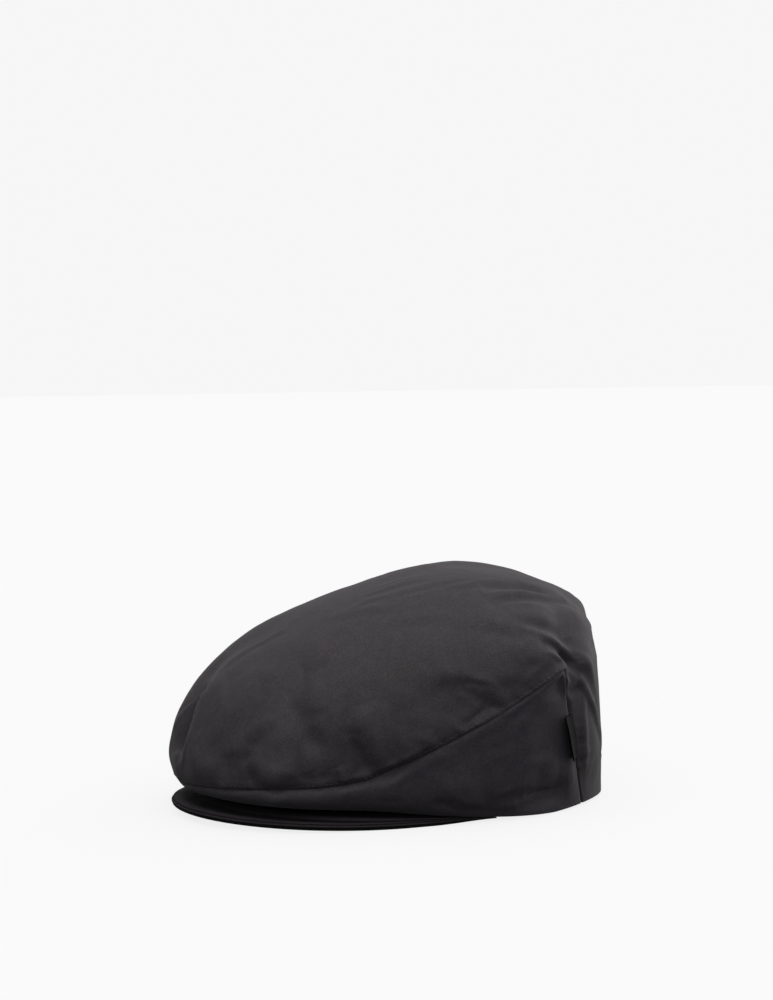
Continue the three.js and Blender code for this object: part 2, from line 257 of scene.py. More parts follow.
def smooth_point(angle, level):
    """The outside of the cap without its folds, at angles in radians and levels."""
    angle, level = np.broadcast_arrays(np.asarray(angle, float), np.asarray(level, float))
    at = {name: section_value(name, angle) for name in SECTION_COLUMNS}
    low = np.clip(level, 0, 1)
    high = np.clip(level - 1, 0, 1)
    side_r = bezier([hem_radius(angle), at["low_r"], at["seam_r"]], low)
    side_z = bezier([hem_height(angle), at["low_z"], at["seam_z"]], low)
    crown_r = bezier([at["seam_r"], at["edge_r"], at["shoulder_r"], at["top_r"], 0 * angle], high)
    crown_z = bezier([at["seam_z"], at["edge_z"], at["shoulder_z"], at["top_z"], CROWN_HEIGHT + 0 * angle],
                     high)
    return from_axis(angle, np.where(level <= 1, side_r, crown_r), np.where(level <= 1, side_z, crown_z))


# %% Find the way out and the rear seam
REAR_SEAM_FOOT = 135.0
REAR_SEAM_LEAN = 29.5
REAR_SEAM_BEND = 5.0


def unit(v):
    """Vectors of the same direction, one long."""
    return v / np.maximum(np.linalg.norm(v, axis=-1, keepdims=True), 1e-9)


def outward(surface, angle, level):
    """The way out of a surface, from its points a little to each side."""
    turn, reach = 0.01, 0.05
    level = np.minimum(level, 2 - 1e-3)
    low = np.maximum(level - reach, 0)
    high = np.minimum(level + reach, 2 - reach / 2)
    around = surface(angle + turn, level) - surface(angle - turn, level)
    up = surface(angle, high) - surface(angle, low)
    way = unit(np.cross(around, up))
    return np.where((level > 2 - 1e-2)[..., None], (0, 0, 1.0), way)


def rear_seam(level):
    """The angle of the rear seam, which leans forward from the hem to the crown's corner."""
    f = np.minimum(level, 1)
    return np.radians(REAR_SEAM_FOOT - REAR_SEAM_LEAN * f + REAR_SEAM_BEND * f ** 2)


CORNER = float(np.degrees(rear_seam(1.0)))
print("form:", len(SECTIONS), "sections; the seams meet", CORNER, "degrees from the front")

# %% [markdown]
# ## Where the cloth stands off the plain form
# The plain model's form is a little too even. The real crown is fuller at the front, flatter over the
# top and drawn in at its rear shoulder. Each row is a place and how far the cloth stands off there;
# between the rows the amounts blend, and away from them they fade to nothing.

# %% Draw the crown to its outline
SLACK_REACH = 13.0
SLACK_FADE = 0.35
# the angle and level of a place, and how far out the cloth goes there, in mm
SLACK = [
    (-8, 1.12, -0.7), (-10, 1.2, 1.4), (-13, 1.28, 2.8), (-15.5, 1.37, 4.2), (-19, 1.46, 4.2),
    (-21, 1.52, 3.8), (-23, 1.58, 2.6), (-25.5, 1.64, 1.1), (-29, 1.7, -1.3), (-40, 1.76, -1.9),
    (-55, 1.77, -2.5), (-80, 1.8, -2.5), (215, 1.78, 1.2), (205, 1.77, 1.9), (190, 1.75, 1.1),
    (180, 1.7, 0), (173, 1.62, -1.9), (166, 1.56, -1.2), (162, 1.5, 0.9), (154.8, 1.46, -0.3),
    (149, 1.38, -2.2), (145, 1.26, -2.8), (144, 1.17, -4.2), (144.5, 1.06, -2.6), (146, 0.94, -0.8),
    (0, 1.3, 1.6), (0, 1.45, 3.0), (14, 1.42, 1.8), (20, 1.55, 1.2), (150, 0.7, -0.6),
]
slack_places = smooth_point(np.radians([row[0] for row in SLACK]), np.array([row[1] for row in SLACK]))
slack_amounts = np.array([row[2] for row in SLACK])


def slack(points):
    """How far the cloth stands off the form at each point, in mm."""
    gaps = np.linalg.norm(points[:, None] - slack_places[None], axis=2)
    share = np.exp(-(gaps / SLACK_REACH) ** 2)
    return (share * slack_amounts).sum(1) / (share.sum(1) + SLACK_FADE)


print("slack from", slack_amounts.min(), "to", slack_amounts.max(), "mm")

# %% [markdown]
# ## The folds
# Soft cloth that stands on its own sags into folds. The large dents are in the plain model already,
# and their rows come first; they are drawn shallower here, because the finer folds lie in them.
# A fine fold is one of four kinds. A step is high on the left of its line and low on the right, and
# shades the light from above. A crest is a thin ridge that catches it, a hollow a dent, and a crease a
# sharp cut. Where the narrow ones and the hollows sink, the cloth's colour is darkened with painted
# shade. Each fold is a line through places on the form, and fades at its ends. Those on the near side
# are many and small, because they were fitted: a program moved and raised them until the model's
# shading came close to the real cap's.

# %% List the large dents
# width and depth in mm (minus goes in), then the angle and level at both ends
FORM_FOLDS = [
    (9, -3.5, (-9, 1.42), (3, 1.12)),
    (11, -3, (-32, 1.4), (-22, 1.14)),
    (11, -3, (25, 1.46), (21, 1.22)),
    (12, -3.5, (29, 1.45), (38, 1.18)),
    (9, -4.5, (43, 1.28), (52, 1.04)),
    (12, -4, (60, 1.36), (90, 1.12)),
    (9, -6, (104, 1.25), (117, 1.03)),
    (10, 2.5, (121, 0.95), (150, 0.4)),
    (13, -5, (97, 1.55), (148, 1.5)),
    (14, -4, (-100, 1.45), (-145, 1.4)),
    (10, -5, (-103, 1.22), (-119, 1.0)),
    (14, -4, (176, 0.9), (-160, 0.45)),
    (12, -4, (-48, 1.3), (-60, 1.05)),
    (8, -2.5, (86, 0.3), (112, 0.26)),
    (9, -2.5, (-90, 0.32), (-116, 0.24)),
]
print(len(FORM_FOLDS), "large dents")

# %% List the fine folds on the near side
# all crests: width and height in mm (minus goes in), then the places that the line runs through
NEAR_FOLDS = [
    # the front
    (12, -1.92, (-8, 1.34), (-3.2, 1.26), (-7, 1.13)),
    (12, -1.18, (10.2, 1.35), (3.2, 1.26), (-8.5, 1.16)),
    (12, 1.94, (5.2, 1.43), (2, 1.39), (-2.2, 1.34)),
    # the front's left side
    (4, -0.3, (7.3, 1.08), (15, 1.06), (21.2, 1.02)),
    (8.2, -0.48, (4.5, 1.28), (14.3, 1.17), (18, 0.98)),
    (8.3, -0.96, (6.2, 1.31), (14.8, 1.19), (17, 1)),
    (2.3, 0.91, (23.2, 1.03), (27.2, 1.03), (31, 1.02)),
    (4.7, -1.16, (20.8, 1.21), (22, 1.1), (21.5, 0.79)),
    (4.7, -0.51, (11, 1.09), (17.2, 1.1), (23, 1.1)),
    (7.2, 2.05, (24, 1.1), (28, 1.1), (31.8, 1.1)),
    (4.7, 0.87, (20.8, 1.22), (24.2, 1.13), (25.8, 1.01)),
    (7.6, -1.53, (6.5, 1.23), (16.8, 1.16), (23.2, 1.04)),
    (1.8, -0.63, (18.2, 1.1), (21.5, 1.2), (23.5, 1.27)),
    (4.4, -0.63, (27.2, 1.29), (20.2, 1.2), (11, 1.08)),
    (6.4, -0.74, (34.8, 1.23), (27.5, 1.21), (19.8, 1.18)),
    (2.8, 0.42, (9.5, 1.2), (17.5, 1.21), (24.2, 1.21)),
    (4.5, -0.77, (27.8, 1.33), (22.8, 1.22), (15.5, 1.08)),
    (6.5, -1.39, (26.5, 1.39), (30.8, 1.25), (32.5, 1.1)),
    (5.7, -0.94, (20.2, 1.38), (15.8, 1.27), (9, 1.14)),
    (3.2, 1.17, (23.8, 1.34), (22, 1.3), (20.2, 1.26)),
    (4.3, -1.07, (24.8, 1.43), (29.5, 1.34), (32.8, 1.26)),
    (10.3, 1.75, (25, 1.49), (21.2, 1.47), (17.2, 1.44)),
    (3.3, -0.48, (25.8, 1.08), (31.3, 1.07), (37, 1.06)),
    (2.5, -1.06, (32, 1.21), (32.2, 1.15), (31.8, 1.07)),
    (6.6, -1.56, (28.2, 1.38), (33.5, 1.25), (36.5, 1.1)),
    (6.6, -0.78, (33.5, 1.34), (33.5, 1.27), (33.2, 1.19)),
    (6.6, 2.11, (29.8, 1.48), (32.2, 1.4), (33.8, 1.33)),
    # over the middle of the seam
    (4.4, 1.07, (41.5, 1.1), (41.5, 1.04), (41.8, 0.87)),
    (4.4, 1.79, (39.5, 1.1), (40.5, 1.03), (41.8, 0.88)),
    (1.5, -0.31, (47.8, 1.04), (44.5, 1.05), (41.5, 1.05)),
    (1.4, -0.31, (42.8, 1.05), (40, 1.05), (37.2, 1.04)),
    (3.1, -0.49, (44, 1.07), (37.5, 1.06), (31.8, 1.04)),
    (3.2, -0.56, (49.5, 1.06), (42.2, 1.07), (36, 1.06)),
    (4.6, -0.91, (41.8, 1.09), (36.5, 1.09), (31.8, 1.08)),
    (6.5, -1.31, (42.5, 1.21), (44.2, 1.12), (45.5, 1.02)),
    (4.6, -0.26, (29.5, 1.19), (38.2, 1.14), (48, 1.05)),
    (2.8, -1.32, (40.8, 1.26), (44.5, 1.15), (47.8, 1)),
    (4.4, 0.3, (50.5, 1.19), (40.5, 1.17), (32, 1.11)),
    (6.5, -0.94, (32, 1.25), (39.2, 1.18), (47, 1.08)),
    (4.2, -0.97, (33.8, 1.28), (35, 1.23), (36.2, 1.18)),
    (4.2, 1.33, (44.8, 1.32), (44.2, 1.27), (44, 1.23)),
    (5, 1.72, (59.3, 1.03), (47.5, 1.04), (37.2, 0.95)),
    (7.5, 1.76, (66, 1.06), (56.2, 1.03), (47, 0.97)),
    (3.3, 1.28, (66.8, 1.01), (58.2, 1.03), (50.5, 1.04)),
    (1.6, -0.23, (59, 1.04), (55.5, 1.05), (52, 1.06)),
    (2.1, -0.35, (58, 1.05), (52.8, 1.05), (47.8, 1.05)),
    (3.2, -0.3, (49.2, 1.05), (45.2, 1.06), (41.5, 1.06)),
    (3.1, -0.51, (59.8, 1.06), (52, 1.07), (44.8, 1.06)),
    (4.2, 0.45, (45.8, 1.16), (48.5, 1.11), (51, 1.06)),
    (6.6, 0.88, (43.5, 1.3), (49.2, 1.15), (54.5, 0.88)),
    (6.8, 1.61, (44.2, 1.33), (48.5, 1.18), (51.5, 0.97)),
    (6.6, 1.48, (40.2, 1.35), (46.2, 1.21), (51.2, 1.04)),
    (6.5, -0.91, (43, 1.42), (51.5, 1.3), (59.5, 1.14)),
    (2.9, 0.67, (59.3, 1.12), (64.2, 1.07)),
    # over the rear of the seam
    (6.7, -0.92, (62, 1.21), (73.5, 1.1), (86.2, 0.92)),
    (6.5, -0.75, (58.5, 1.25), (70, 1.18), (82.5, 1.08)),
    (6.7, -0.45, (52, 1.3), (63, 1.2), (74.8, 1.08)),
    (6.6, -1.03, (76, 1.25), (64.5, 1.26), (54, 1.26)),
    (7, 1.22, (52.8, 1.41), (65, 1.34), (77.5, 1.28)),
    (4.6, -0.86, (88.5, 1.01), (80.8, 1.03), (73.2, 1.05)),
    (3, -1.1, (82.5, 1.09), (78.8, 1.06), (75, 1.03)),
    (6.8, -1.22, (69, 1.21), (81, 1.09), (94.2, 0.91)),
    (4.5, 1.1, (79.2, 1.26), (84.8, 1.14), (90.8, 0.99)),
    (2.8, -0.8, (71.2, 1.28), (79.2, 1.15), (87.5, 0.99)),
    (4.4, 0.65, (71.5, 1.28), (75.8, 1.16), (80.5, 1.01)),
    (4.2, 0.59, (80.5, 1.25), (88.5, 1.19), (97, 1.11)),
    (1.9, -0.67, (72, 1.28), (78.2, 1.23), (84.5, 1.17)),
    (2, 0.41, (74.5, 1.3), (80.2, 1.23), (86.2, 1.16)),
    (6.7, 1.48, (63.8, 1.37), (76, 1.27), (88.2, 1.15)),
    (7.2, -1.04, (81.8, 1.5), (88.8, 1.33), (96.8, 1.12)),
    (5.1, -1.31, (82, 1.47), (90.2, 1.4), (98, 1.33)),
    # about the corner where the seams meet
    (2.8, -0.68, (101, 1.15), (95.2, 1.19)),
    (2.3, 0.76, (96.2, 1.42), (102.5, 1.36), (108.8, 1.28)),
    (8, -1.09, (89, 1.44), (102.8, 1.36), (118.7, 1.27)),
    (7.2, 1.5, (98.8, 1.29), (105.5, 1.21), (113.2, 1.12)),
    (11, -1.08, (122.8, 1.51), (114.2, 1.25), (120.2, 0.97)),
    (10.8, -0.84, (122, 1.51), (113.8, 1.25), (119.5, 0.98)),
    (10.8, -0.84, (122, 1.51), (113.8, 1.25), (119.5, 0.98)),
    (11, -0.87, (123, 1.52), (113.8, 1.26), (119.5, 0.98)),
    (3.9, -1.31, (96, 1.47), (105.2, 1.38), (116, 1.27)),
    (8.2, -1.06, (128.2, 1.34), (106, 1.37), (91.5, 1.41)),
    (12, -0.95, (130.8, 1.33), (115.8, 1.08), (113.8, 0.85)),
    (8.5, -1.25, (139, 1.43), (117.3, 1.12), (119.5, 0.82)),
    (11.7, -1.35, (130.5, 1.42), (115.2, 1.16), (116, 0.9)),
    (12, -1.1, (116, 1.49), (118.7, 1.26), (145.2, 1.02)),
    (10.3, -1.07, (104.5, 1.42), (115.2, 1.25), (143.8, 1.1)),
    # the side panel and the back strip
    (6.5, 1.83, (28.2, 1.14), (27.2, 1.03), (24.8, 0.52)),
    (7, 1.23, (56, 1.19), (53.8, 1.04), (50.8, 0.55)),
    (4.4, 0.32, (50.3, 1.25), (59, 1.06), (69, 0.61)),
    (4.1, -2.19, (63.5, 0.37), (74.2, 0.17), (86.5, 0.02)),
    (1.7, 0.54, (69.2, 0.31), (74, 0.23), (79.2, 0.15)),
    (1.7, 0.27, (68.8, 0.34), (73.5, 0.25), (78.8, 0.17)),
    (7.7, 0.29, (60, 0.73), (72.5, 0.48), (87.2, 0.25)),
    (7.3, 0.85, (57.5, 0.89), (68.8, 0.55), (82.2, 0.21)),
    (7, 0.43, (73.8, 0.89), (74, 0.7), (74.2, 0.46)),
    (6.6, 0.59, (64.2, 1.08), (71.2, 0.75), (79.5, 0.28)),
    (1.8, -0.37, (79.8, 0.12), (85, 0.1), (90.8, 0.09)),
    (1.7, 0.34, (80.8, 0.17), (86, 0.14), (91.8, 0.12)),
    (3.9, 0.32, (72.2, 0.28), (83.8, 0.2), (96.8, 0.13)),
    (3.7, 0.55, (71.8, 0.34), (77.8, 0.24), (84.2, 0.15)),
    (3.8, 0.32, (98.5, 0.35), (87.5, 0.32), (77.2, 0.23)),
    (8.7, 0.63, (99.8, 0.3), (84.2, 0.34), (70.2, 0.36)),
    (5.2, 0.54, (103.5, 0.64), (87.2, 0.68), (72.8, 0.69)),
    (3.1, -0.33, (92.8, 0.86), (83, 0.89), (74, 0.91)),
    (2.6, 0.7, (106.2, 0.14), (97.2, 0.14), (88.8, 0.14)),
    (9.3, 1.41, (114.5, 0.33), (98, 0.32), (84, 0.26)),
    (2.5, 0.5, (100.5, 0.34), (93, 0.33), (85.8, 0.3)),
    (3.6, 0.65, (112.2, 0.43), (104.5, 0.46), (97.2, 0.51)),
    (8.8, 0.88, (98.3, 0.84), (97.2, 0.58), (96.8, 0.26)),
    (3.9, 0.53, (105.8, 0.97), (100, 0.89), (94.5, 0.79)),
    (3.5, -0.66, (100.2, 0.96), (93, 0.92), (86, 0.85)),
    (7.2, -0.75, (122.8, 0.12), (105.2, 0.05), (98.5, 0.01)),
    (9.8, -1.75, (121.5, 0.22), (106.5, 0.1), (99, 0.01)),
    (2.5, -0.86, (120.8, 0.19), (110.2, 0.19), (100.8, 0.21)),
    (1.7, -1.01, (112.8, 0.2), (106, 0.2), (100, 0.21)),
    (9.6, 0.51, (130, 0.33), (109.8, 0.29), (94.2, 0.26)),
    (9.9, 1.16, (136.8, 0.33), (113.8, 0.3), (97.5, 0.28)),
    (4.3, -0.45, (105.8, 0.39), (104.2, 0.28)),
    (6.2, -0.56, (104.2, 0.47), (105.8, 0.35), (107, 0.24)),
    (10.5, -1.12, (110.2, 1.08), (109, 0.96), (108.2, 0.84)),
    (9.1, -0.84, (105.5, 1.14), (108.8, 0.98), (114.2, 0.83)),
    (12, 1.36, (119.3, 0.85), (131, 0.54), (147.8, 0.15)),
    (9.9, 0.7, (126.8, 0.69), (135.8, 0.47), (148.3, 0.21)),
    (8.3, -1.08, (130.5, 0.74), (137.5, 0.59), (147.2, 0.41)),
]
print(len(NEAR_FOLDS), "fine folds on the near side")

# %% List the folds that were set one by one
# kind, width and height in mm, then the places that the line runs through
EYE_FOLDS = [
    # long soft pulls over the top, which the camera sees edge-on
    ("step", 5, 1.7, (89.2, 1.62), (106.5, 1.6), (118.2, 1.57), (128, 1.52), (139.8, 1.46)),
    ("crest", 4, 0.9, (121, 1.68), (129.2, 1.61), (151, 1.54)),
    ("crest", 3.5, 0.8, (93, 1.58), (108.2, 1.54), (118.2, 1.44)),
    ("step", 4, 0.6, (76.2, 1.72), (96.5, 1.72), (111, 1.7)),
    ("crest", 2.4, 0.4, (19.8, 1.69), (37.5, 1.75), (73, 1.75), (93.8, 1.73)),
    ("step", 4.5, 0.45, (18.2, 1.67), (28.2, 1.75), (51.8, 1.78), (86.2, 1.78)),
    ("crest", 2.4, 0.4, (11, 1.81), (20.2, 1.88), (53.8, 1.9)),
    ("step", 4, 0.4, (18, 1.78), (31.8, 1.84), (56.8, 1.85)),
    ("step", 5, 0.5, (20, 1.66), (31, 1.7), (46.5, 1.69)),
    ("step", 4, 0.4, (-1, 1.44), (-0.8, 1.54), (4, 1.62)),
    ("step", 5, 0.4, (43, 1.62), (57, 1.6), (75, 1.54)),
    # sharp ones: the facet at the front, the crescent at the corner, and down the back
    ("hollow", 8, -5.2, (-3.6, 1.4), (-3.2, 1.31), (-3, 1.24), (-2, 1.16)),
    ("hollow", 3.4, -2.4, (-3.2, 1.44), (-2.6, 1.38), (-2.6, 1.3), (-2, 1.2), (0.3, 1.12)),
    ("crest", 1.4, 1.6, (-3, 1.44), (-2, 1.4), (0.8, 1.36), (2.8, 1.3), (3.5, 1.24), (2.8, 1.16),
      (1.5, 1.1)),
    ("crest", 1.7, 1.2, (-3.6, 1.43), (-5.8, 1.37), (-7.6, 1.31), (-8.4, 1.27), (-9.4, 1.2)),
    ("hollow", 3.4, -3, (102, 1.28), (104.2, 1.26), (107.8, 1.21), (111.5, 1.12), (115.6, 1.02),
      (120.4, 0.93)),
    ("crest", 1.6, 1.3, (102, 1.21), (104.8, 1.19), (108.2, 1.13), (111.8, 1.04), (116.8, 0.94),
      (119, 0.89)),
    ("crest", 2.4, 1.2, (105, 1.3), (107.8, 1.28), (111.8, 1.21), (115.2, 1.14), (118, 1.05),
      (121.6, 0.96)),
    ("crest", 2, 1.8, (117, 0.96), (120.2, 0.91), (124.8, 0.84), (130, 0.74), (137.2, 0.6), (148, 0.42)),
    ("crest", 3.6, 1.5, (114, 1.2), (116.8, 1.12), (120.8, 1.06), (125.2, 0.98), (131.5, 0.87),
      (141, 0.68)),
    ("crest", 2.6, 1.3, (123, 0.8), (124, 0.77), (124.5, 0.68), (126.5, 0.54), (129.5, 0.39), (131, 0.3)),
    ("crest", 2, 0.9, (121, 0.92), (119.8, 0.89), (116.5, 0.86), (113.5, 0.82)),
    ("hollow", 6, -2.4, (92, 1.69), (104, 1.68), (115.8, 1.65), (122, 1.61), (127, 1.56), (135, 1.5)),
    # the back, and the side that faces away from the camera
    ("step", 5, 1.4, (158, 0.9), (164, 0.66), (172, 0.4)),
    ("crest", 2.2, 1.2, (154, 0.98), (158, 0.74), (166, 0.5), (170, 0.3)),
    ("crease", 3, -1.4, (178, 0.86), (186, 0.7), (196, 0.5)),
    ("crest", 2, 1, (182, 0.92), (190, 0.74), (200, 0.54)),
    ("step", 4, 1.3, (204, 0.8), (212, 0.6), (214, 0.4)),
    ("step", 4, 1.3, (160, 1.16), (178, 1.1), (198, 1.14)),
    ("crest", 2.4, 0.9, (168, 1.04), (186, 1), (204, 1.04)),
    ("step", 3, 1.2, (160, 0.22), (176, 0.26), (192, 0.2)),
    ("crest", 2, 0.7, (164, 0.14), (178, 0.18), (190, 0.12)),
    ("step", 5, 1.2, (150, 1.3), (172, 1.36), (196, 1.3)),
    ("crest", 3, 0.6, (156, 1.44), (180, 1.48), (206, 1.4)),
    ("step", 3.2, 2, (-104, 1.24), (-109, 1.14), (-115, 1.02), (-119, 0.92)),
    ("crease", 2, -1.4, (-104, 1.23), (-109, 1.13), (-115, 1)),
    ("crest", 1.6, 1.3, (-116, 1.08), (-121, 0.92), (-128, 0.76), (-138, 0.54), (-150, 0.3)),
    ("crest", 1.5, 0.9, (-120, 0.9), (-117, 0.86), (-114, 0.8)),
    ("step", 3.2, 1.6, (-53, 1.04), (-50, 1.16), (-46, 1.27)),
    ("crease", 2.2, -1, (-52, 1.05), (-49, 1.15), (-46, 1.25)),
    ("crest", 3, 0.8, (-56, 1.06), (-53, 1.16), (-50, 1.26)),
    ("step", 5, 1.3, (-38, 1.2), (-35, 1.32), (-30, 1.42)),
    ("step", 3.6, 1.2, (-90, 1.03), (-82, 1.18), (-75, 1.26), (-62, 1.33)),
    ("crest", 1.8, 0.6, (-92, 1.04), (-85, 1.15), (-78, 1.24)),
    ("step", 5, 1.5, (-142, 1.46), (-128, 1.53), (-114, 1.58), (-90, 1.62)),
    ("crest", 4, 0.8, (-120, 1.68), (-130, 1.61), (-150, 1.54)),
    ("crest", 2.6, 0.6, (-82, 1.42), (-92, 1.37), (-104, 1.26)),
    ("step", 5, 0.8, (-112, 1.32), (-105, 1.4), (-98, 1.5)),
    ("crest", 2.6, 0.4, (-20, 1.68), (-38, 1.74), (-72, 1.74)),
    ("step", 5, 0.5, (-74, 1.54), (-57, 1.6), (-36, 1.62)),
    ("step", 2.6, 1.2, (-112, 0.25), (-98, 0.26), (-84, 0.22)),
    ("step", 2.4, 1.1, (-122, 0.2), (-108, 0.2), (-94, 0.14)),
    ("crest", 1.9, 0.7, (-88, 0.18), (-102, 0.22), (-118, 0.2)),
    ("crest", 4, 0.5, (-84, 0.74), (-95, 0.78), (-106, 0.8)),
    ("step", 4, 0.6, (-114, 0.5), (-100, 0.56), (-86, 0.6)),
]
print(len(EYE_FOLDS), "folds set by eye")

# %% Measure how far a fold moves the cloth
FOLD_STEPS = 6            # how finely a fold's line follows the form between two places
FOLD_REACH = 3.5          # how many widths away from its line a fold still counts
FOLD_FADE = 0.6           # the lower, the blunter its ends
STEP_SCALE = 2.33         # makes a step as high as its row says


def fold_line(places):
    """A fold's line in mm: points on the smooth form, between the places that it runs through."""
    places = np.array(places, float)
    steps = np.linspace(0, len(places) - 1, FOLD_STEPS * (len(places) - 1) + 1)
    angle = np.interp(steps, range(len(places)), places[:, 0])
    level = np.interp(steps, range(len(places)), places[:, 1])
    return smooth_point(np.radians(angle), level)


def run_along(line):
    """The length of a line from its start to each of its points."""
    return np.concatenate([[0], np.cumsum(np.linalg.norm(np.diff(line, axis=0), axis=1))])


def from_line(line, points, ways_out):
    """How far points are from a line, on which side (plus or minus), and where along it (0 to 1)."""
    best = np.full(len(points), 1e9)
    side = np.zeros(len(points))
    along = np.zeros(len(points))
    lengths = np.linalg.norm(np.diff(line, axis=0), axis=1)
    starts = run_along(line)
    for k, (a, b) in enumerate(zip(line, line[1:])):
        f = np.clip(((points - a) @ (b - a)) / lengths[k] ** 2, 0, 1)
        off = points - a - f[:, None] * (b - a)
        distance = np.linalg.norm(off, axis=1)
        nearer = distance < best
        across = np.cross(b - a, ways_out)
        best = np.where(nearer, distance, best)
        side = np.where(nearer, np.sign((off * across).sum(1)), side)
        along = np.where(nearer, (starts[k] + f * lengths[k]) / starts[-1], along)
    return best, side, along


def fold_depth(kind, width, depth, line, points, ways_out):
    """How far one fold moves the cloth at each point, in mm."""
    reach = np.linalg.norm(line - line.mean(0), axis=1).max() + FOLD_REACH * width
    near = np.flatnonzero(np.linalg.norm(points - line.mean(0), axis=1) < reach)
    moved = np.zeros(len(points))
    if not len(near):
        return moved
    distance, side, along = from_line(line, points[near], ways_out[near])
    x = distance / width
    rounded = np.exp(-x ** 2)
    if kind == "form":
        moved[near] = depth * rounded
        return moved
    ends = np.sin(np.pi * np.clip(along, 0.0, 1.0)) ** FOLD_FADE
    # a crease comes to a point, blunted a little because the mesh couldn't show a sharp one
    profile = {
        "crest": rounded,
        "hollow": rounded,
        "crease": np.exp(-1.5 * (np.sqrt(x ** 2 + 0.03) - 0.17)),
        "step": -STEP_SCALE * side * x * rounded,
    }[kind]
    moved[near] = depth * ends * profile
    return moved


def form_line(places):
    """A large dent's line, along which angle and level change evenly, as in the plain model."""
    f = np.linspace(0, 1, FOLD_STEPS + 1)
    (angle, level), (to_angle, to_level) = places
    return smooth_point(np.radians(angle + (to_angle - angle) * f), level + (to_level - level) * f)


# %% [markdown]
# ## Seams, puckers and slack
# The panels meet in seams. The crown's edge is turned under and stitched down, so it stands a
# little proud and dives into a crisp groove, and the thread draws the cloth into small puckers that
# run out away from the seam. Between the seams the cloth is never flat: it is slack in slow waves.
# All of this is relief over the form, in mm, and it fades out at the hem, which stays an even oval.

# %% Measure the distance to the seams
SEAM_POINTS = 240
SEAM_REACH = 45           # a seam further off than this isn't measured
FAR_OFF = 99.0            # stands for the distance to a seam that a panel doesn't have
AT_ONCE = 4000            # how many points are measured at a time, which saves memory
crown_seam = smooth_point(np.radians(np.linspace(-CORNER, CORNER, 2 * SEAM_POINTS)), 1.0)
seam_levels = np.linspace(0, 1, SEAM_POINTS)
rear_seams = [smooth_point(side * rear_seam(seam_levels), seam_levels) for side in (1, -1)]
front_seam = smooth_point(0 * seam_levels, seam_levels)


def near_line(points, line):
    """The distance to a finely drawn line, and the length along it, both in mm."""
    distance = np.full(len(points), 1e9)
    along = np.zeros(len(points))
    lengths = np.linalg.norm(np.diff(line, axis=0), axis=1)
    starts = run_along(line)
    low, high = line.min(0) - SEAM_REACH, line.max(0) + SEAM_REACH
    near = np.flatnonzero(((points > low) & (points < high)).all(1))
    for part in np.array_split(near, max(len(near) // AT_ONCE, 1)):
        gaps = np.linalg.norm(points[part, None] - line[None], axis=2)
        nearest = gaps.argmin(1)
        best = gaps.min(1)
        place = starts[nearest]
        for step in (-1, 0):
            k = np.clip(nearest + step, 0, len(lengths) - 1)
            a, b = line[k], line[k + 1]
            f = np.clip(((points[part] - a) * (b - a)).sum(1) / lengths[k] ** 2, 0, 1)
            d = np.linalg.norm(points[part] - a - f[:, None] * (b - a), axis=1)
            place = np.where(d < best, starts[k] + f * lengths[k], place)
            best = np.minimum(best, d)
        distance[part] = best
        along[part] = place
    return distance, along


print("seam round the crown:", round(run_along(crown_seam)[-1]), "mm")

# %% [markdown]
# ## Relief
# The relief of a point is the sum of all that moves it in or out: the large dents and the slack of
# the form, the fine folds, slow waves, the puckers, and the seams' own edges. The puckers lean as the
# cloth is pulled, and some are much deeper than others, so slow noise sets their depth and length.

# %% Make soft steps and waves
def smoothstep(x, low, high):
    """Rises softly from 0 to 1 between two values."""
    f = np.clip((x - low) / (high - low), 0, 1)
    return f * f * (3 - 2 * f)


def wave(points, size, seed):
    """Smooth noise about -1 to 1, with features of a size in mm."""
    shift = Vector((17.3 * seed, 5.1 * seed, 9.7 * seed))
    return np.array([noise.noise(Vector(p) / size + shift) for p in points])


print("a soft step from 0 to 4:", [round(float(smoothstep(x, 0, 4)), 2) for x in range(5)])

# %% Raise and lower the cloth
FORM_SHARE = 0.5          # the share of the plain model's dents that is drawn
HEM_QUIET = 10.0          # the relief fades out over this height above the hem
SEAM_QUIET = 7.0          # and the folds over this distance from a seam
SHARP_FOLD = 2.8          # only folds narrower than this, and hollows, change the cloth's colour: lighter on their crests as wear, darker where they sink as painted shade
# height in mm, length in mm and how much longer than high
WAVES = ((0.6, 34, 1.3), (0.24, 15, 1.0), (0.10, 7, 1.0))
PUCKER_PITCH = 5.2
PUCKER_LEAN = 0.35
PUCKER_STRAIGHT = 30      # away from the seam, the pattern of puckers changes this slowly
PUCKER_FADE = (5.5, 3.5)  # the shortest reach of a pucker, and how much longer the longest is
PUCKER_DEPTH = {"crown": 1.0, "side": 0.3}
REAR_SHIFT = 900          # puckers at the rear seams start this far along the pattern
# relief by distance from a seam, in mm: the turned and stitched edge of the crown, then plain edges
TURNED_EDGE = (
    (0, 0.25, 0.55, 0.9, 1.4, 2.0, 2.5, 3.0, 3.8, 6, 9),
    (-0.9, -0.45, -0.1, 0.2, 0.32, 0.2, -0.1, 0.1, 0.12, 0, 0),
)
PLAIN_EDGE = ((0, 0.4, 1.0, 2.0, 4.0, 7.0), (-0.9, -0.75, -0.5, -0.22, -0.05, 0))
REAR_EDGE = ((0, 0.3, 0.7, 1.2, 2.2, 4.0, 7.0), (-0.9, -0.5, -0.1, 0.12, 0.16, 0.05, 0))
FRONT_EDGE = ((0, 0.4, 1.0, 2.0), (-0.45, -0.2, -0.04, 0))


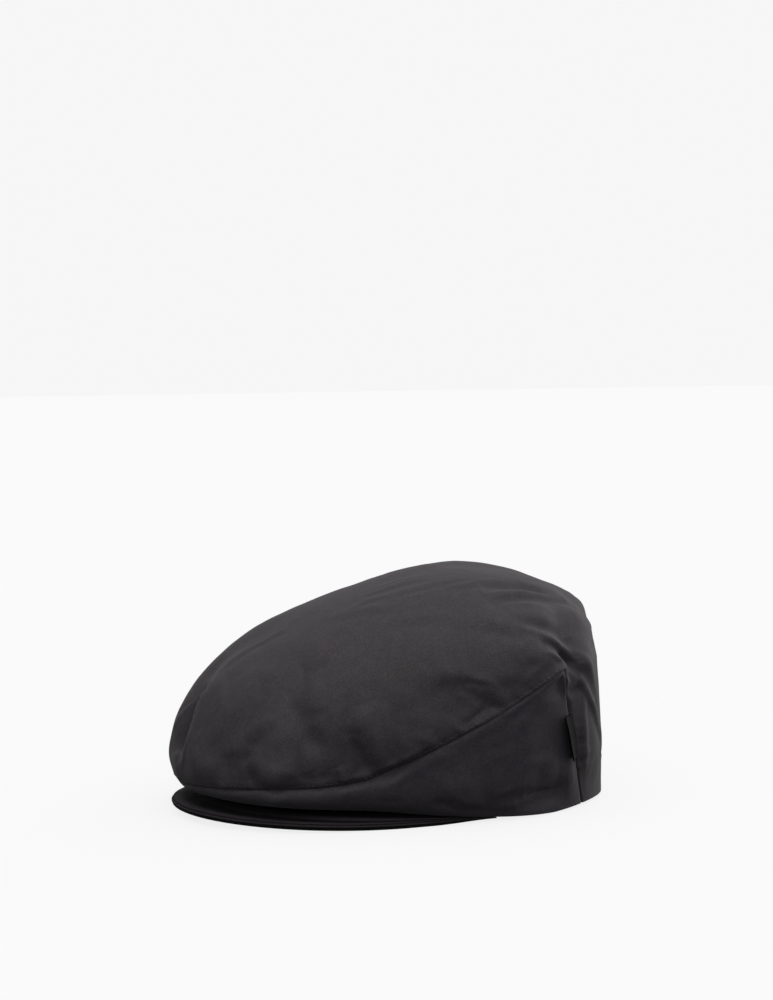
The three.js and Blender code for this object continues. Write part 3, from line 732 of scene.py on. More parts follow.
def cloth_point(angle, level, panel=None):
    """The outside of the cloth at angles and levels, and how far its narrow folds and hollows raise or
    sink it, which tints the cloth: lighter as wear, darker as painted shade.
    Without a panel, only the large dents and the slack move it, and nothing is said of wear or shade."""
    base = smooth_point(angle, level)
    shape = base.shape[:-1]
    angle = np.broadcast_to(angle, shape).ravel()
    level = np.broadcast_to(level, shape).ravel()
    points = base.reshape(-1, 3)
    ways_out = outward(smooth_point, angle, level)
    over_hem = points[:, 2] - hem_height(angle)
    relief = np.zeros(len(points))
    for width, depth, *places in FORM_FOLDS:
        relief += fold_depth("form", width, depth, form_line(places), points, ways_out)
    relief *= FORM_SHARE
    for part in np.array_split(np.arange(len(points)), max(len(points) // AT_ONCE, 1)):
        relief[part] += slack(points[part])
    relief *= smoothstep(over_hem, 0, HEM_QUIET)
    if panel is None:
        return (points + relief[:, None] * ways_out).reshape(base.shape)
    fine, dip, wear_and_painted_light = fine_relief(points, ways_out, over_hem, panel)
    moved = points + (relief + fine + dip)[:, None] * ways_out
    return moved.reshape(base.shape), wear_and_painted_light


def fine_relief(points, ways_out, over_hem, panel):
    """The relief of folds, waves and puckers, that of the seams, and the tint of wear and painted shade, all
    in mm.
    """
    to_crown, crown_along = near_line(points, crown_seam)
    rear = [near_line(points, line) for line in rear_seams]
    to_rear = np.minimum(rear[0][0], rear[1][0])
    rear_along = np.where(rear[0][0] < rear[1][0], rear[0][1], rear[1][1])
    to_front = near_line(points, front_seam)[0] if panel == "side" else np.full(len(points), FAR_OFF)
    nearest = np.minimum(np.minimum(to_crown, to_rear), to_front)

    relief = np.zeros(len(points))
    wear_and_painted_light = np.zeros(len(points))
    for kind, width, depth, *places in [("crest", *row) for row in NEAR_FOLDS] + EYE_FOLDS:
        moved = fold_depth(kind, width, depth, fold_line(places), points, ways_out)
        relief += moved
        # narrow folds and hollows also tint the cloth: lighter as wear where they rise, painted shade where
        # they sink
        if width < SHARP_FOLD or kind == "hollow":
            wear_and_painted_light += moved
    for seed, (height, size, flatness) in enumerate(WAVES, 1):
        relief += height * wave(points * (1, 1, flatness), size, seed)
    relief *= smoothstep(nearest, 0.3, SEAM_QUIET)

    along = np.where(to_crown < to_rear, crown_along, rear_along + REAR_SHIFT)
    run = along + PUCKER_LEAN * nearest
    pattern = np.stack([run / PUCKER_PITCH, nearest / PUCKER_STRAIGHT, along * 0], 1)
    # coarse puckers with finer ones on them, of which some are strong and some reach further
    pucker = 1.5 * wave(pattern, 1.0, 4) + 0.6 * wave(pattern * (2.3, 1, 1), 1.0, 5)
    strong = 0.6 + 0.9 * smoothstep(wave(pattern / 4.5, 1.0, 9), -0.25, 0.3)
    reach = PUCKER_FADE[0] + PUCKER_FADE[1] * smoothstep(wave(pattern / 2.7, 1.0, 8), -0.3, 0.3)
    pucker = PUCKER_DEPTH[panel] * strong * pucker
    relief += pucker * np.exp(-nearest / reach) * smoothstep(nearest, 0.2, 3.2)
    relief *= smoothstep(over_hem, 0.5, HEM_QUIET)

    if panel == "crown":
        dip = np.minimum(np.interp(to_crown, *TURNED_EDGE), np.interp(to_rear, *REAR_EDGE))
    else:
        dip = np.minimum(np.interp(to_crown, *PLAIN_EDGE), np.interp(to_rear, *REAR_EDGE))
        dip = np.minimum(dip, np.interp(to_front, *FRONT_EDGE))
    return relief, dip, wear_and_painted_light


print(sum(map(len, (FORM_FOLDS, NEAR_FOLDS, EYE_FOLDS))), "folds,", len(WAVES), "sizes of wave")

# %% [markdown]
# ## Cutting and laying the panels
# A panel is a flat piece of cloth bent over the form. So each starts as a flat grid, which is the
# mesh for a sheet, and every corner of the grid is moved to its place. The grid's rows are closer
# together along the seams, where the relief is fine. It is then laid flat once, as a cutter would,
# to give the weave a straight grain, and gets its thickness inward.

# %% Lay a grid on the form
def only(piece):
    """Selects one object, as a click on it does."""
    bpy.ops.object.select_all(action="DESELECT")
    piece.select_set(True)
    bpy.context.view_layer.objects.active = piece


def read(items, key, width, kind=float):
    """One value, or one row of values, of every item of a mesh."""
    values = np.empty(len(items) * width, kind)
    items.foreach_get(key, values)
    return values.reshape(-1, width) if width > 1 else values


def laid_grid(name, places, values):
    """A flat grid whose corners are moved to places in mm (rows by columns), with a value for each."""
    rows, columns = places.shape[0] - 1, places.shape[1] - 1
    bpy.ops.object.select_all(action="DESELECT")
    bpy.ops.mesh.primitive_grid_add(x_subdivisions=columns, y_subdivisions=rows, size=2)
    sheet = bpy.context.object
    sheet.name = name
    sheet.data.name = name
    corners = read(sheet.data.vertices, "co", 3)
    column = np.rint((corners[:, 0] + 1) / 2 * columns).astype(int)
    row = np.rint((corners[:, 1] + 1) / 2 * rows).astype(int)
    sheet.data.vertices.foreach_set("co", (places[row, column] * MM).ravel())
    for key, value in values.items():
        stored = sheet.data.attributes.new(key, "FLOAT", "POINT")
        of_corners = value.reshape(rows + 1, columns + 1)[row, column]
        stored.data.foreach_set("value", of_corners.astype(np.float32))
    sheet.data.update()
    return sheet


def joined(name, pieces, weld):
    """Joins objects into one, and merges the corners that lie closer together than weld, in mm."""
    only(pieces[0])
    for piece in pieces[1:]:
        piece.select_set(True)
    if len(pieces) > 1:
        bpy.ops.object.join()
    whole = bpy.context.object
    whole.name = name
    whole.data.name = name
    bpy.ops.object.mode_set(mode="EDIT")
    bpy.ops.mesh.select_all(action="SELECT")
    bpy.ops.mesh.remove_doubles(threshold=weld * MM)
    bpy.ops.object.mode_set(mode="OBJECT")
    return whole


# %% Space the rows and columns
# distances of the rows next to a seam from it, in mm
EDGE_ROWS = (0, 0.25, 0.55, 0.9, 1.4, 2.0, 2.5, 3.0, 3.8, 4.8)
DOME_ROWS = 112
ROWS_WIDEN = 1.3          # the rows of the dome widen toward its middle
FRONT_COLUMNS = 380
BACK_COLUMNS = 150
SPACED_AT = 1.12          # the columns are evenly far apart at this level
ROUND_STEPS = 2000
RISE_STEPS = 240


def even_angles(first, last, count):
    """Angles in radians that are evenly far apart along the cloth a little over the seam."""
    fine = np.radians(np.linspace(first, last, ROUND_STEPS))
    lengths = run_along(smooth_point(fine, SPACED_AT))
    return np.interp(np.linspace(0, lengths[-1], count + 1), lengths, fine)


def dome_levels_at(angle):
    """Levels over the seam at one angle: first the set distances, then on to the middle."""
    fine = np.linspace(1, 2, RISE_STEPS)
    lengths = run_along(smooth_point(np.full(RISE_STEPS, angle), fine))
    start = EDGE_ROWS[-1]
    rest = start + (lengths[-1] - start) * np.linspace(0, 1, DOME_ROWS + 1)[1:] ** ROWS_WIDEN
    return np.interp(np.concatenate([EDGE_ROWS, rest]), lengths, fine)


front_angles = even_angles(-CORNER, CORNER, FRONT_COLUMNS)
back_angles = even_angles(CORNER, 360 - CORNER, BACK_COLUMNS)
dome_angles = np.concatenate([front_angles, back_angles[1:]])
dome_levels = np.stack([dome_levels_at(angle) for angle in dome_angles], 1)
print("crown dome:", dome_levels.shape[0], "rows and", dome_levels.shape[1], "columns")

# %% Lay the crown
BACK_ROWS = 52
dome_angles = np.broadcast_to(dome_angles, dome_levels.shape)
dome_places, dome_wear_and_painted_light = cloth_point(dome_angles, dome_levels, "crown")
strip_shares = (back_angles - back_angles[0]) / (back_angles[-1] - back_angles[0])
strip_levels = np.linspace(0, 1, BACK_ROWS + 1)
edge_angle = rear_seam(strip_levels)[:, None]
strip_angles = edge_angle + strip_shares * (2 * np.pi - 2 * edge_angle)
strip_levels = np.broadcast_to(strip_levels[:, None], strip_angles.shape)
strip_places, strip_wear_and_painted_light = cloth_point(strip_angles, strip_levels, "crown")
crown = joined("crown_cloth", [
    laid_grid("crown_dome", dome_places, {"wear_and_painted_light_mm": dome_wear_and_painted_light}),
    laid_grid("crown_back", strip_places, {"wear_and_painted_light_mm": strip_wear_and_painted_light}),
], weld=0.02)
print("crown:", len(crown.data.polygons), "faces")

# %% Lay the side panels
SIDE_COLUMNS = 210
SIDE_ROWS = 40
SIDE_STEPS = 200
EDGE_SHARE = 0.45         # the rows next to the seam take no more of the panel's height than this


def side_panel(name, side):
    """A side panel's sheet: side is 1 for the wearer's left and -1 for the right."""
    shares = even_angles(0, CORNER, SIDE_COLUMNS)
    shares = shares / shares[-1]
    angles = []
    levels = []
    for share in shares:
        fine = np.linspace(1, 0, SIDE_STEPS)
        lengths = run_along(smooth_point(share * rear_seam(fine), fine))
        start = min(EDGE_ROWS[-1], lengths[-1] * EDGE_SHARE)
        edge = np.array(EDGE_ROWS) * start / EDGE_ROWS[-1]
        rest = np.linspace(start, lengths[-1], SIDE_ROWS + 1)[1:]
        level = np.interp(np.concatenate([edge, rest]), lengths, fine)
        levels.append(level[::-1])
        angles.append(side * share * rear_seam(level[::-1]))
    angles = np.stack(angles, 1)
    levels = np.stack(levels, 1)
    if side < 0:
        # mirrored, so its columns are taken the other way round and its faces still point outward
        angles, levels = angles[:, ::-1], levels[:, ::-1]
    places, wear_and_painted_light = cloth_point(angles, levels, "side")
    return joined(name, [laid_grid(name, places, {"wear_and_painted_light_mm": wear_and_painted_light})], weld=0.01)


side_left = side_panel("side_cloth_left", 1)
side_right = side_panel("side_cloth_right", -1)
print("side panels:", [len(panel.data.polygons) for panel in (side_left, side_right)], "faces")

# %% [markdown]
# ## Grain, thickness and hem
# Laying the panel flat keeps its small shapes true, so the weave isn't stretched anywhere; the
# map is then scaled to real metres. The wall is added inward, so the outside stays on the form.
# The hem is turned up twice on the real cap, so the wall is thicker there. Nobody sees the inside
# closely, so its mesh is thinned, which keeps the piece light.

# %% Lay each panel flat
def lay_flat(sheet):
    """Unwraps a sheet and scales the map, so that one unit of it is one metre of cloth."""
    only(sheet)
    bpy.ops.object.mode_set(mode="EDIT")
    bpy.ops.mesh.select_all(action="SELECT")
    bpy.ops.uv.unwrap(method="CONFORMAL", margin=0)
    bpy.ops.object.mode_set(mode="OBJECT")
    mesh = sheet.data
    flat = read(mesh.uv_layers.active.data, "uv", 2)
    places = read(mesh.vertices, "co", 3)[read(mesh.loops, "vertex_index", 1, int)]
    areas = read(mesh.polygons, "area", 1)
    # the map's own area is summed over its edges, each from one corner of a face to the next
    starts = read(mesh.polygons, "loop_start", 1, int)
    following = np.arange(len(flat)) + 1
    following[np.append(starts[1:], len(flat)) - 1] = starts
    cross = flat[:, 0] * flat[following, 1] - flat[following, 0] * flat[:, 1]
    scale = math.sqrt(areas.sum() / abs(cross.sum() / 2))
    # the grain runs from front to back: turn the map until +Y on the cap is up on the map
    centred = flat - flat.mean(0)
    side, forward = places[:, 0] - places[:, 0].mean(), places[:, 1] - places[:, 1].mean()
    up = np.array([(centred[:, 0] * forward).sum(), (centred[:, 1] * forward).sum()])
    turn = math.atan2(up[0], up[1])
    c, s = math.cos(turn), math.sin(turn)
    across, along = centred.T
    turned = np.stack([across * c - along * s, across * s + along * c], 1)
    mesh.uv_layers.active.data.foreach_set("uv", (turned * scale + 0.5).ravel())
    size = np.ptp(turned * scale, axis=0)
    print(sheet.name, "is cut from", [round(v / MM) for v in size], "mm")
    return size, areas.sum()


flat_sizes = {panel.name: lay_flat(panel) for panel in (crown, side_left, side_right)}

# %% Thicken the panels and thin their inside
CLOTH = 1.6
HEM_WALL = 3.0
HEM_TURNED = 9.0          # the turned hem fades into the single wall over this height
HEM_NEAR = 25             # a point further out than this from the hem's oval isn't on the hem
INSIDE_KEPT = 0.15        # the share of the inside's faces that is kept
SHARP = math.radians(50)


def thicken(sheet):
    """Gives a sheet its wall, thicker at the hem, and thins the mesh of the inside."""
    mesh = sheet.data
    thick = sheet.vertex_groups.new(name="turned_hem")
    for vertex in mesh.vertices:
        x, y, z = vertex.co / MM
        angle = math.atan2(x, AXIS_Y - y)
        weight = 1 - smoothstep(z - hem_height(angle), 0, HEM_TURNED)
        if weight > 0 and math.hypot(x, y - AXIS_Y) < hem_radius(angle) + HEM_NEAR:
            thick.add([vertex.index], float(weight), "REPLACE")
    inside = sheet.vertex_groups.new(name="inside")
    edge = sheet.vertex_groups.new(name="edge")
    wall = sheet.modifiers.new("wall", "SOLIDIFY")
    wall.thickness = HEM_WALL * MM
    wall.offset = -1
    wall.vertex_group = thick.name
    wall.thickness_vertex_group = CLOTH / HEM_WALL
    wall.shell_vertex_group = inside.name
    wall.rim_vertex_group = edge.name
    only(sheet)
    bpy.ops.object.modifier_apply(modifier=wall.name)
    # where the hem leans, its wall would dip under the table
    for vertex in mesh.vertices:
        vertex.co.z = max(vertex.co.z, 0)
    bpy.ops.object.mode_set(mode="EDIT")
    bpy.ops.mesh.select_mode(type="VERT")
    bpy.ops.mesh.select_all(action="DESELECT")
    sheet.vertex_groups.active_index = sheet.vertex_groups["edge"].index
    bpy.ops.object.vertex_group_select()
    bpy.ops.mesh.hide()
    sheet.vertex_groups.active_index = sheet.vertex_groups["inside"].index
    bpy.ops.object.vertex_group_select()
    bpy.ops.mesh.decimate(ratio=INSIDE_KEPT)
    bpy.ops.mesh.reveal(select=False)
    bpy.ops.object.mode_set(mode="OBJECT")
    bpy.ops.object.shade_smooth_by_angle(angle=SHARP)
    print(sheet.name, "has", sum(len(face.vertices) - 2 for face in mesh.polygons), "triangles")


for panel in (crown, side_left, side_right):
    thicken(panel)

# %% [markdown]
# ## The topstitching
# A line of lockstitch holds the turned edge of the crown down, 2.5 mm over the seam. One stitch is
# a short fat thread that dips at both ends. It is modelled once from a low sphere and copied
# along the line, each copy turned along the cloth and sunk in the groove that the thread pulls.

# %% Stitch along the crown's edge
STITCH_PITCH = 3.3
STITCH_LENGTH = 2.7
THREAD_WIDTH = 0.62
THREAD_HEIGHT = 0.42
THREAD_RAISED = 0.12
STITCH_LEVELLED = 1.2     # a stitch follows the line between points this far before and behind it
STITCH_ROW = EDGE_ROWS.index(2.5)
stitch_line = dome_places[STITCH_ROW, :FRONT_COLUMNS + 1]
above_line = dome_places[STITCH_ROW + 1, :FRONT_COLUMNS + 1]
stitch_run = run_along(stitch_line)


def on_run(line, place):
    """The point of a line that is so far along the run of stitches."""
    return np.stack([np.interp(place, stitch_run, line[:, k]) for k in range(3)], -1)


bpy.ops.object.select_all(action="DESELECT")
bpy.ops.mesh.primitive_uv_sphere_add(segments=8, ring_count=5, radius=0.5)
stitch = bpy.context.object
stitch.name = "one_stitch"
stitch.data.transform(Matrix.Rotation(math.pi / 2, 4, "Y"))
stitch.data.transform(Matrix.Diagonal((STITCH_LENGTH * MM, THREAD_WIDTH * MM, THREAD_HEIGHT * MM, 1)))
copies = []
for place in np.arange(STITCH_PITCH, stitch_run[-1] - STITCH_PITCH, STITCH_PITCH):
    middle = on_run(stitch_line, place)
    behind, before = (on_run(stitch_line, place + step) for step in (-STITCH_LEVELLED, STITCH_LEVELLED))
    ahead = unit(before - behind)
    up = unit(on_run(above_line, place) - middle)
    out = unit(np.cross(ahead, up))
    up = np.cross(out, ahead)
    turned = Matrix((ahead, up, out)).transposed().to_4x4()
    turned.translation = Vector(middle + THREAD_RAISED * out) * MM
    copy = bpy.data.objects.new("stitch", stitch.data.copy())
    copy.data.transform(turned)
    bpy.context.scene.collection.objects.link(copy)
    copies.append(copy)
bpy.data.objects.remove(stitch)
topstitching = joined("crown_topstitching", copies, weld=0.001)
bpy.ops.object.shade_smooth()
print(len(copies), "stitches,", len(topstitching.data.polygons), "faces")

# %% [markdown]
# ## The peak
# The peak is a stiff board in a cloth cover. A narrow strip of the cloth joins the upper and lower
# covers along the rim, which shows as two dark grooves between three rounded edges. The cover's
# colour is darkened to near black as painted shade, the rim is lightened with painted light, and
# the grooves get painted shade. A section through it is a closed loop: out along the top, round the
# rim and back underneath. A grid wrapped along the front of the hem follows that section, and its
# ends are drawn together.

# %% Draw a section of the peak
PEAK_REACH = 62.0
PEAK_HALF_ANGLE = 90.0
PEAK_ROUNDNESS = 3.2
PEAK_THICKNESS = 3.8
PEAK_END_THICKNESS = 0.5
PEAK_END_POWER = 5        # the higher, the nearer to its ends it starts to thin
PEAK_UNDER_HEM = 2.6
PEAK_ARCH = 4.0
PEAK_ARCH_ANGLE = 58.0
PEAK_FLAT = 6             # past the arch, the peak lies on the table for so many degrees
PEAK_GAP = 0.3
TOP_ROWS = 26
RIM_ROWS = 24
UNDER_ROWS = 12
RIM_SEAM_TURNS = (0.3 * math.pi, 0.62 * math.pi)
RIM_SEAM_DEPTH = 0.5
RIM_SEAM_WIDTH = 0.42


def in_rim_seam(turn, thick):
    """1 in the middle of a seam of the rim and 0 away from it, at turns round the rim."""
    return sum(np.exp(-((turn - at) * thick / 2 / RIM_SEAM_WIDTH) ** 2) for at in RIM_SEAM_TURNS)


def peak_section(angle):
    """One section of the peak as a closed loop of points in mm."""
    degrees = abs(math.degrees(angle))
    thinned = (degrees / PEAK_HALF_ANGLE) ** PEAK_END_POWER
    thick = PEAK_THICKNESS + (PEAK_END_THICKNESS - PEAK_THICKNESS) * thinned
    reach = PEAK_REACH * max(math.cos(math.radians(degrees * 90 / PEAK_HALF_ANGLE)), 0) ** PEAK_ROUNDNESS
    inner_r = hem_radius(angle) - PEAK_UNDER_HEM
    rim_r = hem_radius(angle) + reach - thick / 2
    inner_z = hem_height(angle) - PEAK_GAP - thick / 2
    if degrees <= PEAK_ARCH_ANGLE:
        bottom = PEAK_ARCH * math.cos(math.radians(degrees * 90 / PEAK_ARCH_ANGLE)) ** 2
    else:
        end = hem_height(math.radians(PEAK_HALF_ANGLE)) - PEAK_GAP - PEAK_END_THICKNESS
        bottom = end * smoothstep(degrees, PEAK_ARCH_ANGLE + PEAK_FLAT, PEAK_HALF_ANGLE)
    rim_z = bottom + thick / 2
    f = np.linspace(0, 1, TOP_ROWS + 1)
    top = np.stack([inner_r + (rim_r - inner_r) * f, inner_z + (rim_z - inner_z) * f + thick / 2], 1)
    turn = np.linspace(0, math.pi, RIM_ROWS + 1)[1:-1]
    radius = thick / 2 - RIM_SEAM_DEPTH * in_rim_seam(turn, thick)
    rim = np.stack([rim_r + radius * np.sin(turn), rim_z + radius * np.cos(turn)], 1)
    f = np.linspace(1, 0, UNDER_ROWS + 1)
    under = np.stack([inner_r + (rim_r - inner_r) * f, inner_z + (rim_z - inner_z) * f - thick / 2], 1)
    loop = np.concatenate([top, rim, under, top[:1]])
    return from_axis(np.full(len(loop), angle), loop[:, 0], loop[:, 1])


# %% Wrap the peak
PEAK_COLUMNS = 240
PEAK_CROWDED = 0.8        # how much closer together its columns are toward its ends
RIM_PAINTED_LIGHT_MM = 2.2         # painted light on the rim, as light as a worn crest of this height
RIM_SEAM_PAINTED_SHADE = 1.6       # painted shade in the rim's two seam grooves: the painted light drops there by so many times its amount, which turns them dark
RIM_FADE = 0.15 * math.pi
peak_angles = np.linspace(-0.5, 0.5, PEAK_COLUMNS + 1) * math.pi * PEAK_CROWDED
peak_angles = np.radians(PEAK_HALF_ANGLE) * np.sin(peak_angles)
peak_angles *= np.radians(PEAK_HALF_ANGLE) / peak_angles[-1]
sections = [peak_section(angle) for angle in peak_angles]
first_end, last_end = (np.tile(end.mean(0), (len(end), 1)) for end in (sections[0], sections[-1]))
# the rows are taken from the last to the first, so that the faces point outward
peak_places = np.stack([first_end, *sections, last_end], 1)[::-1]
rim_turn = (np.arange(peak_places.shape[0]) - TOP_ROWS) / RIM_ROWS * math.pi
on_rim = smoothstep(rim_turn, 0, RIM_FADE) * (1 - smoothstep(rim_turn, math.pi - RIM_FADE, math.pi))
# painted light along the rim, and painted shade in its two seam grooves
rim_painted_light = RIM_PAINTED_LIGHT_MM * on_rim * (1 - RIM_SEAM_PAINTED_SHADE * in_rim_seam(rim_turn, PEAK_THICKNESS))
rim_painted_light = np.repeat(rim_painted_light[:, None], peak_places.shape[1], 1)
peak = joined("peak_cover", [laid_grid("peak_cover", peak_places, {"wear_and_painted_light_mm": rim_painted_light})], weld=0.001)
bpy.ops.object.shade_smooth_by_angle(angle=SHARP)
print("peak:", len(peak.data.polygons), "faces")

# %% [markdown]
# ## The ribbon tab
# A short ribbon is folded in two and caught in the left rear seam. It is a sheet too: it leaves
# the seam, lies forward over the side panel, turns at its free edge and comes back. Its free edge
# lifts a little, because a folded ribbon never lies quite flat. It is left bare.

# %% Fold the tab
TAB_LOW_LEVEL = 0.4
TAB_HIGH_LEVEL = 0.7
TAB_OUT = 10.0
TAB_LEAN = math.radians(78)
TAB_ROOT = 1.2
TAB_LIFT = 1.3
TAB_CLEAR = 0.8           # from the side panel to the middle of the fold
RIBBON = 0.4
RIBBON_GAP = 0.5
TAB_ROWS = 30
TAB_COLUMNS = 48
TAB_TURN_COLUMNS = 12

tab_levels = np.linspace(TAB_LOW_LEVEL, TAB_HIGH_LEVEL, TAB_ROWS + 1)
tab_angles = rear_seam(tab_levels)
tab_out = outward(cloth_point, tab_angles, tab_levels)
tab_round = np.stack([np.cos(tab_angles), np.sin(tab_angles), 0 * tab_angles], 1)
tab_along = unit(tab_out * math.cos(TAB_LEAN) - tab_round * math.sin(TAB_LEAN))
tab_foot = cloth_point(tab_angles, tab_levels) + tab_out * TAB_CLEAR
tab_across = unit(np.cross(tab_along, (0, 0, 1.0)))
turn = np.linspace(-math.pi / 2, math.pi / 2, TAB_TURN_COLUMNS + 1)
run = np.linspace(-TAB_ROOT, TAB_OUT - RIBBON_GAP / 2, (TAB_COLUMNS - TAB_TURN_COLUMNS) // 2 + 1)
path = np.concatenate([
    np.stack([run, 0 * run - RIBBON_GAP / 2], 1),
    np.stack([run[-1] + RIBBON_GAP / 2 * np.cos(turn), RIBBON_GAP / 2 * np.sin(turn)], 1)[1:-1],
    np.stack([run[::-1], 0 * run + RIBBON_GAP / 2], 1),
])
tab_places = (
    tab_foot[:, None]
    + tab_along[:, None] * path[None, :, :1]
    + tab_across[:, None] * path[None, :, 1:]
    + tab_out[:, None] * (TAB_LIFT * np.clip(path[None, :, :1] / TAB_OUT, 0, 1) ** 2)
)
tab = joined("seam_ribbon", [laid_grid("seam_ribbon", tab_places, {})], weld=0.001)
flat_sizes[tab.name] = lay_flat(tab)
wall = tab.modifiers.new("wall", "SOLIDIFY")
wall.thickness = RIBBON * MM
wall.offset = 0
bpy.ops.object.modifier_apply(modifier=wall.name)
bpy.ops.object.shade_smooth_by_angle(angle=SHARP)
print("ribbon:", len(tab.data.polygons), "faces")

# %% [markdown]
# ## Waxed cotton
# The cloth is a dense plain weave of cotton, proofed with wax. The wax makes it dark and matt with
# a faint slick sheen, lies unevenly in soft clouds, and lifts where the cloth is bent, so folds
# wear lighter along their crests. Their hollows and creases are darkened with painted shade, and
# the peak's cover is darkened with painted shade all over. Threads are about half a
# millimetre apart and of uneven thickness, and their thick places, the slubs, are what the eye
# sees of the weave. Cotton and wax both bend light about as much as glass does, so the shader
# keeps its own index of 1.5.

# %% Say how coarse the cloth is
THREAD_MM = 0.55          # real spacing of the threads: about 18 to the centimetre
DRAWN_COARSER = 2         # drawn twice as coarse, or the picture couldn't show it
SLUB_MM = (0.8, 5.0)      # a slub's width and length
FLECK_MM = 0.9            # flecks where wax sits between the threads
PATCH_MM = 5.0            # patches where more or less wax has stayed
CLOUD_MM = 24.0           # the wax lies in clouds about as wide as a thumb


def bands_for(mm):
    """The Scale of a wave texture whose bands are so many mm apart, on a map in metres."""
    return 2 * math.pi / (20 * mm * MM)


print("threads drawn", DRAWN_COARSER * THREAD_MM, "mm apart, a wave scale of",
      round(bands_for(DRAWN_COARSER * THREAD_MM)))

# %% Weave the waxed cotton
HOLLOW_PAINTED_SHADE = 0.45        # painted shade: the colour at the bottom of a deep hollow, as a share of the cloth's own


def waxed_cotton(name, cloth, warm, wear_and_painted_light, roughness, grain, weave_mm, sheen=0.09, shine=0.25):
    """Waxed cotton: the cloth's own colour, a warmer one in its clouds, and a lighter one for worn crests,
    used as painted light on the peak's rim; hollows get painted shade.
    grain is how strongly the threads show in tone, weave_mm how deep they are."""
    made = bpy.data.materials.new(name)
    made.use_nodes = True
    tree = made.node_tree
    shader = tree.nodes["Principled BSDF"]
    flat = add(tree, "UVMap", uv_map="UVMap").outputs["UV"]
    solid = add(tree, "TexCoord").outputs["Object"]

    # the wax: clouds, patches and flecks
    waxes = []
    for size, detail in ((CLOUD_MM, 3.0), (PATCH_MM, 4.0), (FLECK_MM, 1.0)):
        wax = add(tree, "TexNoise", {"Vector": solid, "Scale": 1000 / size, "Detail": detail})
        waxes.append(wax.outputs["Fac"])
    cloud, patch, fleck = waxes

    # the weave: slubs drawn out along both threads, and the threads themselves
    slubs = []
    threads = []
    for way, size in (("X", SLUB_MM), ("Y", SLUB_MM[::-1])):
        drawn_out = add(tree, "Mapping", {"Vector": flat, "Scale": (1000 / size[0], 1000 / size[1], 1.0)})
        lumps = {"Vector": drawn_out.outputs["Vector"], "Scale": 1.0, "Detail": 2.0}
        slubs.append(add(tree, "TexNoise", lumps).outputs["Fac"])
        scale = bands_for(DRAWN_COARSER * THREAD_MM)
        bands = {"Vector": flat, "Scale": scale, "Distortion": 0.6, "Detail Scale": 2.0}
        threads.append(add(tree, "TexWave", bands, bands_direction=way).outputs["Fac"])
    slub = add(tree, "Math", {0: slubs[0], 1: slubs[1]}, operation="ADD").outputs["Value"]
    weave = add(tree, "Math", {0: threads[0], 1: threads[1]}, operation="MULTIPLY").outputs["Value"]

    # the colour: clouds, then worn crests, then painted shade in the hollows and creases
    fold = add(tree, "Attribute", attribute_name="wear_and_painted_light_mm").outputs["Fac"]
    dark = tuple(HOLLOW_PAINTED_SHADE * c for c in cloth[:3]) + (1,)
    shade = cloth
    for colour, value, low, high, most in (
        (warm, cloud, 0.35, 0.7, 1.0),
        (wear_and_painted_light, fold, 0.1, 2.2, 0.8),
        (dark, fold, -0.3, -2.8, 0.7),
    ):
        limits = {"Value": value, "From Min": low, "From Max": high, "To Max": most}
        share = add(tree, "MapRange", limits).outputs["Result"]
        shade = add(tree, "Mix", {6: shade, 7: colour, 0: share}, data_type="RGBA").outputs[2]

    # the tone: threads and flecks as strong as the grain, and faint patches
    tones = []
    for value, low, high, swing in (
        (slub, 0.7, 1.3, grain),
        (fleck, 0.3, 0.7, 1.2 * grain),
        (patch, 0.3, 0.7, 0.08),
    ):
        limits = {"Value": value, "From Min": low, "From Max": high, "To Min": 1 - swing, "To Max": 1 + swing}
        tones.append(add(tree, "MapRange", limits).outputs["Result"])
    tone = add(tree, "Math", {0: tones[0], 1: tones[1]}, operation="MULTIPLY").outputs["Value"]
    tone = add(tree, "Math", {0: tone, 1: tones[2]}, operation="MULTIPLY").outputs["Value"]
    toned = add(tree, "Mix", {6: shade, 7: tone, 0: 1.0}, data_type="RGBA", blend_type="MULTIPLY")
    tree.links.new(toned.outputs[2], shader.inputs["Base Color"])

    # the surface: rougher where the clouds are dry, and raised by the weave and the patches
    limits = {"From Min": 0.3, "From Max": 0.75, "To Min": roughness - 0.07, "To Max": roughness + 0.1}
    dry = add(tree, "MapRange", {"Value": cloud, **limits})
    tree.links.new(dry.outputs["Result"], shader.inputs["Roughness"])
    raised = add(tree, "Math", {0: slub, 1: weave}, operation="ADD").outputs["Value"]
    fine = add(tree, "Bump", {"Height": raised, "Strength": 0.55, "Distance": weave_mm * MM})
    lumpy = {"Height": patch, "Strength": 0.5, "Distance": 0.35 * MM, "Normal": fine.outputs["Normal"]}
    tree.links.new(add(tree, "Bump", lumpy).outputs["Normal"], shader.inputs["Normal"])
    shader.inputs["Sheen Weight"].default_value = sheen
    shader.inputs["Sheen Roughness"].default_value = 0.45
    shader.inputs["Sheen Tint"].default_value = (0.8, 0.77, 0.8, 1)
    shader.inputs["Specular IOR Level"].default_value = shine
    return made


# %% Dress the panels and the peak
# the crown's cloth: dark grey cotton, matt and dry where the wax has worn off
crown_cotton = waxed_cotton(
    "waxed_cotton_crown",
    linear("#2d2a2d"), linear("#332f32"), linear("#474448"),
    roughness=0.7, grain=0.17, weave_mm=0.12,
)
# the side panels' cloth: the same, but with more wax left, so smoother and bluer
side_cotton = waxed_cotton(
    "waxed_cotton_side",
    linear("#343136"), linear("#353236"), linear("#46434a"),
    roughness=0.58, grain=0.14, weave_mm=0.06,
)
